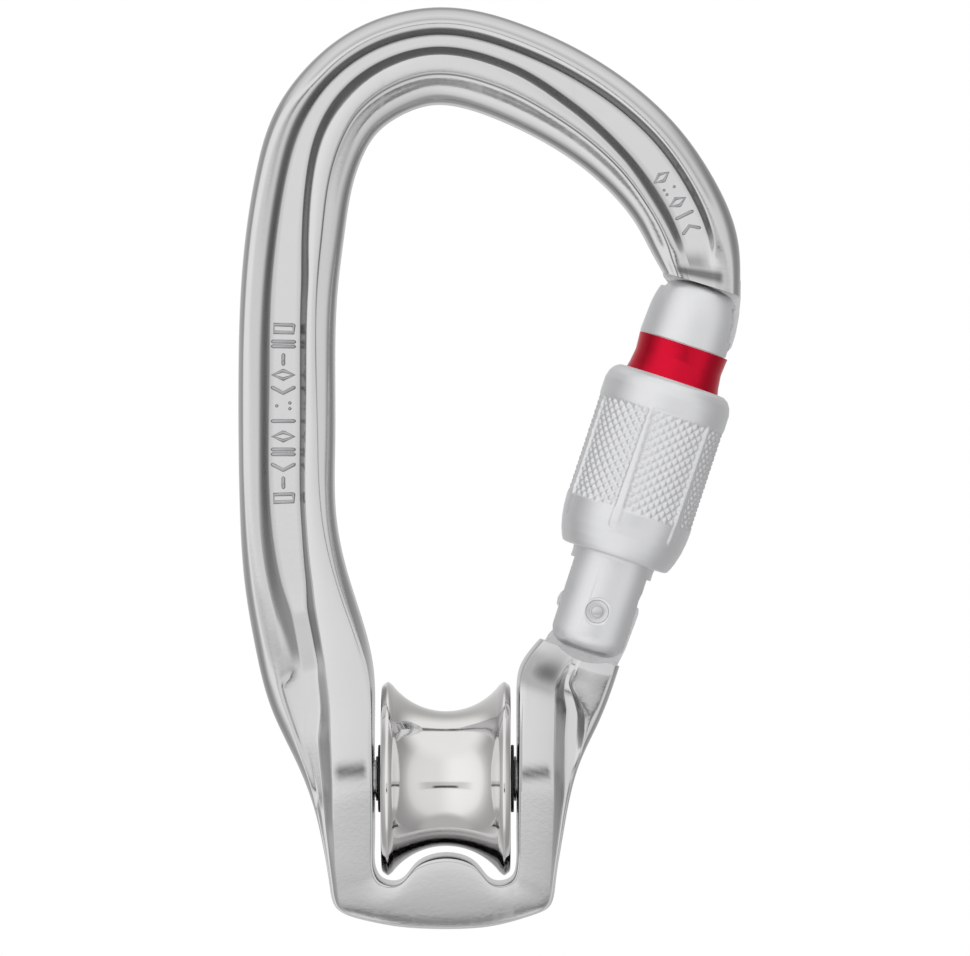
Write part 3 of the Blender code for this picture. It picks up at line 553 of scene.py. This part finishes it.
forged_metal = metal("forged_aluminium", (0.68, 0.68, 0.685), (0.76, 0.76, 0.765), 0.11, 0.16,
                     grain=1800.0, grain_depth=0.000012)
# Painted shade: the forging's colour is mixed towards near black where its painted shade attribute is high.
paint_shade_where(forged_metal, "painted_shade", 0.55, 0.12)
milled_metal = metal("milled_aluminium", (0.58, 0.58, 0.59), (0.78, 0.78, 0.79), 0.28, 0.45,
                     grain=2600.0, grain_depth=0.00012, blotch=900.0)
for piece in (forged_body, nose_tongue, nose_bulb, hinge_tongue):
    piece.data.materials.clear()
    piece.data.materials.append(milled_metal if piece in (hinge_tongue, nose_tongue) else forged_metal)
    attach(piece, "frame")
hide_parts("frame")

# ---------------------------------------------------------------------------
# Relief marks. Raised in the forging die along the web: plain bars, diamonds and
# dots that stand for the ratings on a real one, without letters or figures.
# ---------------------------------------------------------------------------


def surface_point(station, share):
    """The front of the forging at a station and a share of the width, in mm."""
    row = rows[int(round(station * STATION_STEPS))]
    front = row[: around // 2 + 1]
    across = np.linalg.norm(front[:, [0, 2]] - front[0, [0, 2]], axis=1)
    across = across / across[-1]
    return np.array([np.interp(share, across, front[:, i]) for i in range(3)])


def stroke(path, radius, sides=8):
    """Points and faces of a round-ended bar along a path."""
    path = np.array(path, float)
    tangents = np.gradient(path, axis=0)
    tangents /= np.linalg.norm(tangents, axis=1)[:, None]
    out = np.array([0.0, -1.0, 0.0])
    points = []
    ends = [path[0] - tangents[0] * radius * 0.8, *path, path[-1] + tangents[-1] * radius * 0.8]
    tangents = np.concatenate([tangents[:1], tangents, tangents[-1:]])
    sizes = [radius * 0.35] + [radius] * len(path) + [radius * 0.35]
    for centre, tangent, size in zip(ends, tangents, sizes):
        side = np.cross(tangent, out)
        side /= np.linalg.norm(side)
        for a in circle(sides):
            points.append(centre + size * (math.cos(a) * side + math.sin(a) * out))
    faces = [tuple(f) for f in grid_faces(len(ends), sides)]
    faces += [tuple(range(sides)), tuple(range(len(points) - sides, len(points)))]
    return points, faces


# Each mark fills this share of its pitch. Its direction along the web is read
# this far to each side, in mm.
MARK_SHARE, REACH = 0.62, 0.2


def relief(name, start, end, glyphs, middle, height, pitch, radius):
    """A row of marks along the web from one station to another."""
    spine = np.array([surface_point(s, middle) for s in np.linspace(start, end, 60)])
    run = np.concatenate([[0.0], np.cumsum(np.linalg.norm(np.diff(spine, axis=0), axis=1))])
    points, faces = [], []
    for number, glyph in enumerate(glyphs):
        for path in glyph:
            line = []
            for a, b in path:
                place = (number + 0.5) * pitch + a * pitch * MARK_SHARE
                at, behind, ahead = (
                    np.array([np.interp(place + d, run, spine[:, i]) for i in range(3)])
                    for d in (0.0, -REACH, REACH))
                along = (ahead - behind) / np.linalg.norm(ahead - behind)
                cross = np.cross(along, (0.0, -1.0, 0.0))
                line.append(at + cross * b * height)
            found, made = stroke(line, radius)
            faces += [tuple(len(points) + i for i in f) for f in made]
            points += found
    piece = make_piece(name, points, faces, sharp=60)
    piece.data.materials.append(relief_metal)
    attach(piece, "frame")


relief_metal = metal("relief_aluminium", (0.40, 0.40, 0.41), (0.54, 0.54, 0.55), 0.14, 0.22,
                     grain=1800.0, grain_depth=0.000012)
# Each mark is a set of strokes (along, across), from -0.5 to 0.5 of its size.
BAR_ACROSS = [[(0.0, -0.5), (0.0, 0.0), (0.0, 0.5)]]
TWO_BARS = [[(-0.25, -0.5), (-0.25, 0.5)], [(0.25, -0.5), (0.25, 0.5)]]
BAR_ALONG = [[(-0.5, 0.0), (0.0, 0.0), (0.5, 0.0)]]
DIAMOND = [[(-0.45, 0.0), (0.0, 0.48), (0.45, 0.0), (0.0, -0.48), (-0.43, -0.02)]]
CHEVRON = [[(-0.3, -0.5), (0.3, 0.0), (-0.3, 0.5)]]
SQUARE = [[(-0.4, -0.45), (0.4, -0.45), (0.4, 0.45), (-0.4, 0.45), (-0.4, -0.4)]]
DOTS = [[(-0.3, -0.3), (-0.28, -0.3)], [(0.3, -0.3), (0.32, -0.3)], [(0.0, 0.3), (0.02, 0.3)]]
relief("spine_relief_marks", 12.42, 15.1,
       [SQUARE, TWO_BARS, BAR_ALONG, DIAMOND, CHEVRON, DOTS,
        BAR_ACROSS, DIAMOND, TWO_BARS, CHEVRON, BAR_ALONG, SQUARE],
       middle=0.47, height=2.9, pitch=2.05, radius=0.27)
relief("nose_relief_marks", 1.15, 2.55, [CHEVRON, BAR_ACROSS, DIAMOND, DOTS, DIAMOND],
       middle=0.49, height=2.3, pitch=1.95, radius=0.24)

# ---------------------------------------------------------------------------
# Sheave. Turned from aluminium bar and mirror-polished, with a half-round
# rope groove and rounded flanges; a bearing is pressed in from each side.
# ---------------------------------------------------------------------------

# Radius at the groove's bottom, and of the half-round arc across it, in mm.
GROOVE_R, GROOVE_ARC = 9.0, 9.03
groove = [(GROOVE_R + GROOVE_ARC * (1 - math.cos(a)), GROOVE_ARC * math.sin(a))
          for a in np.radians(np.linspace(-52, 52, 49))]
left_rim = rounded([(5.55, -8.6), (12.35, -8.6), (13.0, -7.75), groove[0]],
                   [0.2, 0.7, 0.35, 0], 6, False)
right_rim = [(r, -x) for r, x in reversed(left_rim)]
bore = rounded([(5.55, 8.6), (5.55, 3.4), (4.7, 3.4), (4.7, -3.4), (5.55, -3.4), (5.55, -8.6)],
               [0, 0.1, 0, 0, 0.1, 0], 3, False)
profile = left_rim[:-1] + groove + right_rim[1:-1] + bore
points, faces = turned(profile, 144)
sheave = make_piece("polished_sheave", moved(points, AXLE_PLACE), faces)
polished = metal("polished_aluminium", (0.80, 0.79, 0.78), (0.86, 0.85, 0.84), 0.05, 0.09,
                 grain=900.0, grain_depth=0.000004, scratch=300.0)
sheave.data.materials.append(polished)
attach(sheave, "sheave")
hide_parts("sheave")

# ---------------------------------------------------------------------------
# Bearings, spacer tube and washers. Two sealed ball bearings in ground steel
# ride on the axle; a black dust washer and a thin steel one close each side.
# ---------------------------------------------------------------------------

bearing_steel = metal("bearing_steel", (0.55, 0.54, 0.53), (0.68, 0.67, 0.66), 0.10, 0.18)
pin_steel = metal("pin_steel", (0.56, 0.56, 0.56), (0.68, 0.68, 0.69), 0.22, 0.34, grain=1500.0)
black_nylon = metal("black_nylon", (0.016, 0.016, 0.017), (0.030, 0.030, 0.032), 0.42, 0.55, metallic=0.0)
black_rubber = metal("black_rubber", (0.012, 0.012, 0.012), (0.024, 0.024, 0.024), 0.6, 0.75, metallic=0.0)


def finish_node(node, material):
    """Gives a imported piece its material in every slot."""
    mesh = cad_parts[node].data
    mesh.materials.clear()
    mesh.materials.append(material)


for side in ("left", "right"):
    finish_node(f"bearing_outer_race_{side}", bearing_steel)
    finish_node(f"bearing_inner_race_{side}", bearing_steel)
    finish_node(f"bearing_cage_{side}", black_nylon)
    for where in ("outer", "inner"):
        finish_node(f"bearing_seal_{where}_{side}", black_rubber)
    for number in range(1, 8):
        finish_node(f"bearing_ball_{side}_{number}", bearing_steel)
finish_node("bearing_spacer_tube", pin_steel)

for sign, side in ((-1, "left"), (1, "right")):
    for node, radius, near, far, material in (
        ("dust_washer", 4.5, 8.66, 9.06, black_nylon),
        ("thrust_washer", 3.0, 9.10, 9.36, pin_steel),
    ):
        low, high = sorted((sign * near, sign * far))
        section = rounded([(2.56, low), (radius, low), (radius, high), (2.56, high)],
                          [0.05, 0.12, 0.12, 0.05], 4)
        points, faces = turned(section, 96)
        washer = make_piece(f"{node}_turned_{side}", moved(points, AXLE_PLACE), faces)
        washer.data.materials.append(material)
        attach(washer, "frame")
        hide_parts(f"{node}_{side}")

# ---------------------------------------------------------------------------
# Axle. A ground steel pin pressed in from the spine's side, its end chamfered
# and sunk just below the forging.
# ---------------------------------------------------------------------------

section = rounded([(0, -17.0), (2.5, -17.0), (2.5, 14.0), (0, 14.0)], [0, 0.5, 0.3, 0], 5, False)
points, faces = turned([(0, -16.8), (0.8, -16.85), (1.2, -17.0)] + section[1:], 64)
axle = make_piece("axle_pin", moved(points, AXLE_PLACE), faces)
axle.data.materials.append(pin_steel)
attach(axle, "frame")
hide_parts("axle")

# ---------------------------------------------------------------------------
# Gate barrel. Turned from aluminium bar, slotted at its foot for the hinge
# tongue and at its head for the nose, then blasted and clear anodised.
# ---------------------------------------------------------------------------

satin = metal("satin_aluminium", (0.80, 0.805, 0.815), (0.87, 0.875, 0.885), 0.34, 0.44,
              grain=3500.0, grain_depth=0.00002, blotch=90.0, metallic=0.78)
BARREL_TOP = 45.75
profile = rounded(
    [(0, -5.6), (5.6, -5.6), (5.6, 7.2), (5.95, 8.6), (5.6, 10.0), (5.6, 17.6), (6.7, 18.6), (6.7, 31.9),
     (5.55, 31.9), (5.55, 37.4), (6.17, 37.4), (6.16, 38.2)],
    [0, 2.4, 2.0, 1.0, 1.0, 0.5, 0.5, 0.2, 0.1, 0.1, 0.12, 0], 7, False)
dome = np.array([(6.16, 38.2), (6.10, 39.4), (5.96, 41.7), (5.61, 43.5), (4.88, 44.9),
                 (3.9, 45.45), (2.0, 45.72), (0, BARREL_TOP)])
dome_run = np.concatenate([[0.0], np.cumsum(np.linalg.norm(np.diff(dome, axis=0), axis=1))])
dome = along_curve(dome_run, dome, smooth_slopes(dome_run, dome),
                   np.linspace(0, dome_run[-1], 34))
profile += [(max(float(r), 0.0), float(z)) for r, z in dome[1:-1]] + [(0, BARREL_TOP)]
points, faces = turned(profile, 160)
barrel = make_piece("anodised_barrel", points, faces, sharp=28)
for name, shape in (
    ("foot_flat", extruded([(4.9, -9), (4.9, 2.2), (4.85, 3.0), (4.95, 3.8), (5.2, 4.5), (5.5, 5.0),
                            (5.62, 5.4), (9, 5.6), (9, -9)], -9, 9)),
    ("hinge_slot", extruded([(-9, -9), (9, -9), (9, 6.0), (-9, 6.0)], -2.5, 2.5)),
    ("spring_bore", turned([(0, 0), (2.6, 0), (2.6, 20.0), (0, 21.2)], 48)),
    ("nose_slot", extruded([(-3.3, 48), (-3.3, 39.7), (3.0, 37.9), (9, 36.2), (9, 48)], -2.25, 2.25)),
    ("nose_through", extruded([(-9, 44.1), (-2, 44.1), (-2, 48), (-9, 48)], -2.25, 2.25)),
    ("nose_chamber", extruded([(-3.2, 39.6), (9, 39.6), (9, 43.9), (-3.2, 43.9)], -3.05, 3.05)),
):
    cut_away(barrel, name, *shape)
for sign in (-1, 1):
    dish = turned([(0, 5.06), (0.95, 5.06), (1.86, 5.42), (1.96, 5.7), (2.2, 7.0), (0, 7.0)], 64)
    cut_away(barrel, "pin_dish", *dish, place=Matrix.Rotation(sign * QUARTER, 4, "X"))
cut_away(barrel, "pin_bore", *turned([(0, -9), (1.55, -9), (1.55, 9), (0, 9)], 48),
         place=Matrix.Rotation(QUARTER, 4, "X"))
barrel.data.transform(in_metres(GATE_PLACE))
barrel.data.materials.clear()
barrel.data.materials.append(satin)
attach(barrel, "gate")
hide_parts("gate_barrel")

# ---------------------------------------------------------------------------
# Gate pin. A steel rivet through the barrel and the hinge tongue, peened into
# a dish at each end, with a small raised centre.
# ---------------------------------------------------------------------------

half = [(0, 5.46), (0.5, 5.45), (0.7, 5.40), (0.79, 5.28), (0.83, 5.12), (0.95, 5.06),
        (1.5, 5.28), (1.5, 5.0)]
profile = [(r, -h) for r, h in half] + [(r, h) for r, h in reversed(half)]
points, faces = turned(profile, 64)
rivet = make_piece("gate_rivet", moved(points, PIN_PLACE), faces)
rivet_steel = metal("rivet_steel", (0.66, 0.66, 0.67), (0.78, 0.78, 0.79), 0.26, 0.36, grain=2000.0)
rivet.data.materials.append(rivet_steel)
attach(rivet, "gate")
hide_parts("gate_pin")

# ---------------------------------------------------------------------------
# Indicator band. A red anodised ring in a groove of the barrel, waisted, that
# shows while the sleeve is down and the gate is unlocked.
# ---------------------------------------------------------------------------

red = metal("red_anodised", (0.64, 0.006, 0.030), (0.80, 0.014, 0.048), 0.24, 0.32, grain=3000.0)
BAND_HEIGHTS, BAND_RADII = (32.1, 33.2, 35.0, 36.6, 37.3), (6.45, 6.2, 5.97, 6.08, 6.15)
BAND_LOW, BAND_HIGH = BAND_HEIGHTS[0], BAND_HEIGHTS[-1]
outside = [(float(np.interp(h, BAND_HEIGHTS, BAND_RADII)), float(h))
           for h in np.linspace(BAND_LOW, BAND_HIGH, 24)]
points, faces = turned([(5.6, BAND_LOW), *outside, (5.6, BAND_HIGH)], 128)
band = make_piece("red_band", moved(points, GATE_PLACE), faces)
band.data.materials.append(red)
band.visible_glossy = False
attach(band, "gate")
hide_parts("indicator_band")

# ---------------------------------------------------------------------------
# Lock sleeve. Turned aluminium with a diamond knurl rolled round its grip and
# six plain ribs left standing, each wider towards its rounded lower end.
# ---------------------------------------------------------------------------

KNURLS_ROUND, KNURL_PITCH, KNURL_DEPTH = 42, 1.3, 0.30
KNURL_LOW, KNURL_HIGH = 13.9, 27.75
RIB_LOW, RIB_HIGH = 11.2, 28.1
RIB_STEP, RIB_TURN, RIB_R = 60.0, 101, 8.7
SLEEVE_LOW, SLEEVE_HIGH = 7.6, 32.3
SLEEVE_HEIGHTS = (SLEEVE_LOW, 7.75, 8.3, 9.3, 10.7, 12.2, 13.9, 14.6, 27.4, 27.8, 28.2, 30.2,
                  31.2, 31.9, SLEEVE_HIGH)
SLEEVE_RADII = (7.0, 7.32, 7.62, 8.0, 8.36, 8.58, 8.68, 8.6, 8.6, 8.64, 8.7, 8.68,
                8.42, 7.95, 7.3)


def sleeve_radius(angle, height):
    """The sleeve's outside: its turned shape, less the knurl, plus the ribs."""
    shape = np.interp(height, SLEEVE_HEIGHTS, SLEEVE_RADII)
    turns = angle / (2 * math.pi) * KNURLS_ROUND
    one = np.abs((turns + height / KNURL_PITCH) % 1.0 - 0.5) * 2
    other = np.abs((turns - height / KNURL_PITCH) % 1.0 - 0.5) * 2
    groove = np.clip(1 - np.minimum(1 - one, 1 - other) * 1.45, 0.0, 1.0)
    inside = (ramp(height, KNURL_LOW - 0.1, KNURL_LOW + 0.35)
              * (1 - ramp(height, KNURL_HIGH - 0.35, KNURL_HIGH + 0.1)))
    knurled = shape - KNURL_DEPTH * groove * inside
    rib = (np.degrees(angle) + RIB_TURN) % RIB_STEP
    rib = np.minimum(rib, RIB_STEP - rib) * math.radians(1) * RIB_R
    wide = np.interp(height, [RIB_LOW, 13.0, 22.0, RIB_HIGH], [0.62, 0.58, 0.42, 0.26])
    tip = np.clip((height - RIB_LOW) / 0.6, 0.0, 1.0)
    wide = wide * np.sqrt(1 - (1 - tip) ** 2)
    standing = 1 - ramp(rib, wide - 0.12, wide + 0.22)
    standing = standing * (height > RIB_LOW) * (height < RIB_HIGH + 0.3)
    rib_top = np.interp(height, [RIB_LOW, 12.0, 14.0, 27.8, 28.4], [8.55, 8.72, 8.80, 8.74, 8.66])
    return knurled + np.clip(rib_top - knurled, 0.0, None) * standing


columns = KNURLS_ROUND * 9
levels = np.concatenate([
    np.linspace(SLEEVE_LOW, 13.6, 36, endpoint=False),
    np.linspace(13.6, RIB_HIGH, 112, endpoint=False),
    np.linspace(RIB_HIGH, SLEEVE_HIGH, 30),
])
angles = circle(columns)
grid_angle, grid_level = np.meshgrid(angles, levels)
radius = sleeve_radius(grid_angle, grid_level)
inner_ring = [(7.15, 32.32), (6.95, 32.2), (6.85, 32.3), (6.85, 9.8), (5.85, 9.8),
              (5.85, 7.7), (5.95, 7.6), (6.6, 7.55)]
points = [np.stack([radius * np.cos(grid_angle), radius * np.sin(grid_angle), grid_level], -1).reshape(-1, 3)]
for r, z in inner_ring:
    points.append(np.stack([r * np.cos(angles), r * np.sin(angles), np.full(columns, z)], -1))
points = np.concatenate(points)
rings = len(levels) + len(inner_ring)
faces = [tuple(f) for f in grid_faces(rings, columns)]
last = (rings - 1) * columns
faces += [(last + j, last + (j + 1) % columns, (j + 1) % columns, j) for j in range(columns)]
sleeve = make_piece("knurled_sleeve", moved(points, GATE_PLACE), faces, sharp=50)
sleeve.data.materials.append(satin)
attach(sleeve, "sleeve")
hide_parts("lock_sleeve")
finish_node("sleeve_friction_ring", black_rubber)

# ---------------------------------------------------------------------------
# Closing spring and plunger. Inside the barrel a coil of steel wire pushes a
# turned steel plunger against the hinge tongue's cam, which shuts the gate.
# ---------------------------------------------------------------------------

SPRING_LOW, SPRING_HIGH, SPRING_TURNS = 8.0, 19.6, 7
COIL_R, WIRE_R, WIRE_SIDES = 1.95, 0.28, 10
upward = np.array([0.0, 0.0, 1.0])
path_angles = np.linspace(0, SPRING_TURNS * 2 * math.pi, SPRING_TURNS * 28)
path = np.stack([COIL_R * np.cos(path_angles), COIL_R * np.sin(path_angles),
                 np.linspace(SPRING_LOW + WIRE_R, SPRING_HIGH - WIRE_R, len(path_angles))], -1)
points = []
for centre, a in zip(path, path_angles):
    outward = np.array([math.cos(a), math.sin(a), 0.0])
    for b in circle(WIRE_SIDES):
        points.append(centre + WIRE_R * (math.cos(b) * outward + math.sin(b) * upward))
faces = [tuple(f) for f in grid_faces(len(path), WIRE_SIDES)]
faces += [tuple(range(WIRE_SIDES)), tuple(range(len(points) - WIRE_SIDES, len(points)))]
spring = make_piece("closing_spring", moved(points, GATE_PLACE), faces)
spring.data.materials.append(pin_steel)
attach(spring, "gate")
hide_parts("gate_spring")
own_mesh(spring)
finish_node("spring_plunger", pin_steel)

# ---------------------------------------------------------------------------
# Studio: a pale floor, a white room with grey side flags, three soft lights
# and a long lens square to the front.
# ---------------------------------------------------------------------------

FLOOR_Z, FLOOR_R, FLOOR_SIDES = -320.0, 2000.0, 96
floor_points = [(0, 0, FLOOR_Z)] + [
    (FLOOR_R * math.cos(a), FLOOR_R * math.sin(a), FLOOR_Z) for a in circle(FLOOR_SIDES)]
floor = make_piece("pale_floor", floor_points,
                   [(0, 1 + i, 1 + (i + 1) % FLOOR_SIDES) for i in range(FLOOR_SIDES)])
paper = bpy.data.materials.new("pale_paper")
paper.use_nodes = True
paper_shader = paper.node_tree.nodes["Principled BSDF"]
paper_shader.inputs["Base Color"].default_value = (0.86, 0.86, 0.86, 1)
paper_shader.inputs["Roughness"].default_value = 0.9
floor.data.materials.append(paper)
floor.visible_glossy = False

world = bpy.data.worlds.new("studio")
bpy.context.scene.world = world
world.use_nodes = True
tree = world.node_tree
link = tree.links.new


def rise(value, low, high):
    """A share that rises smoothly from 0 to 1 as a direction's part goes from low to high."""
    node = add_node(tree, "ShaderNodeMapRange", {"From Min": low, "From Max": high},
                    interpolation_type="SMOOTHSTEP")
    link(value, node.inputs["Value"])
    return node.outputs["Result"]


def tone(share, a, b):
    """Goes from tone a to tone b with the share."""
    node = add_node(tree, "ShaderNodeMix", data_type="FLOAT")
    link(share, node.inputs["Factor"])
    for value, socket in ((a, node.inputs["A"]), (b, node.inputs["B"])):
        if isinstance(value, float):
            socket.default_value = value
        else:
            link(value, socket)
    return node.outputs["Result"]


def times(a, b):
    """One share times another."""
    node = add_node(tree, "ShaderNodeMath", operation="MULTIPLY")
    link(a, node.inputs[0])
    link(b, node.inputs[1])
    return node.outputs["Value"]


place = add_node(tree, "ShaderNodeTexCoord")
split = add_node(tree, "ShaderNodeSeparateXYZ")
link(place.outputs["Generated"], split.inputs["Vector"])
across, away, up = split.outputs["X"], split.outputs["Y"], split.outputs["Z"]
# Tone by how far a direction points away from the camera, -1 straight at it.
ROOM_TONES = [(-1.0, 0.95), (-0.92, 0.95), (-0.78, 0.94), (-0.50, 0.88), (-0.30, 0.62), (-0.05, 0.42),
              (0.30, 0.38), (0.50, 0.42), (0.70, 0.50), (0.87, 0.58), (1.0, 0.75)]
room = add_node(tree, "ShaderNodeFloatCurve")
curve = room.mapping.curves[0]
while len(curve.points) < len(ROOM_TONES):
    curve.points.new(0.5, 0.5)
for point, (where, value) in zip(curve.points, ROOM_TONES):
    point.location = ((where + 1) / 2, value)
room.mapping.update()
spread = add_node(tree, "ShaderNodeMapRange", {"From Min": -1.0, "From Max": 1.0})
link(away, spread.inputs["Value"])
link(spread.outputs["Result"], room.inputs["Value"])
light = times(room.outputs["Value"], tone(rise(across, -0.3, 0.3), 1.06, 0.88))
front = tone(rise(away, -0.9, -0.6), 1.0, 0.0)
# A dim strip low in front, and a darker gap in the middle below it.
low_front = times(rise(up, -0.26, -0.22), tone(rise(up, -0.075, -0.035), 1.0, 0.0))
light = times(light, tone(times(low_front, front), 1.0, 0.70))
gap = times(rise(up, -0.235, -0.220), tone(rise(up, -0.170, -0.155), 1.0, 0.0))
gap = times(gap, times(rise(across, -0.42, -0.28), tone(rise(across, 0.28, 0.42), 1.0, 0.0)))
light = times(light, tone(times(gap, front), 1.0, 0.12))
# The ceiling and the ground, and plain white behind the pulley.
light = tone(rise(up, 0.45, 0.80), light, tone(rise(away, 0.3, 0.75), 0.92, 0.50))
light = tone(rise(up, -0.80, -0.93), light, 0.50)
rays = add_node(tree, "ShaderNodeLightPath")
light = tone(rays.outputs["Is Camera Ray"], light, 1.0)
link(light, tree.nodes["Background"].inputs["Color"])


MIDDLE = Vector((0, 0, -0.05))


def soft_light(name, place, size, glow):
    """A rectangular soft light that faces the pulley, with its brightness per area."""
    data = bpy.data.lights.new(name, "AREA")
    data.shape, data.size, data.size_y = "RECTANGLE", size[0], size[1]
    data.energy = glow * math.pi * size[0] * size[1]
    lamp = bpy.data.objects.new(name, data)
    bpy.context.scene.collection.objects.link(lamp)
    lamp.visible_glossy = False
    lamp.location = place
    lamp.rotation_euler = (MIDDLE - Vector(place)).to_track_quat("-Z", "Y").to_euler()


soft_light("left_softbox", (-0.65, -0.65, 0.10), (0.30, 0.80), 1.0)
soft_light("right_softbox", (0.75, -0.60, 0.05), (0.22, 0.70), 0.9)
soft_light("top_softbox", (0.0, -0.15, 0.85), (0.9, 0.5), 0.8)

lens = bpy.data.cameras.new("long_lens")
camera = bpy.data.objects.new("camera", lens)
bpy.context.scene.collection.objects.link(camera)
DISTANCE, VIEW_WIDTH, SENSOR = 0.9, 0.1296, 36.0
camera.location = (0.0052, -DISTANCE, -0.04995)
camera.rotation_euler = (math.pi / 2, 0, 0)
lens.sensor_width = SENSOR
lens.lens = SENSOR * DISTANCE / VIEW_WIDTH
lens.clip_start, lens.clip_end = 0.05, 20.0
bpy.context.scene.camera = camera
bpy.context.scene.view_settings.view_transform = "Standard"
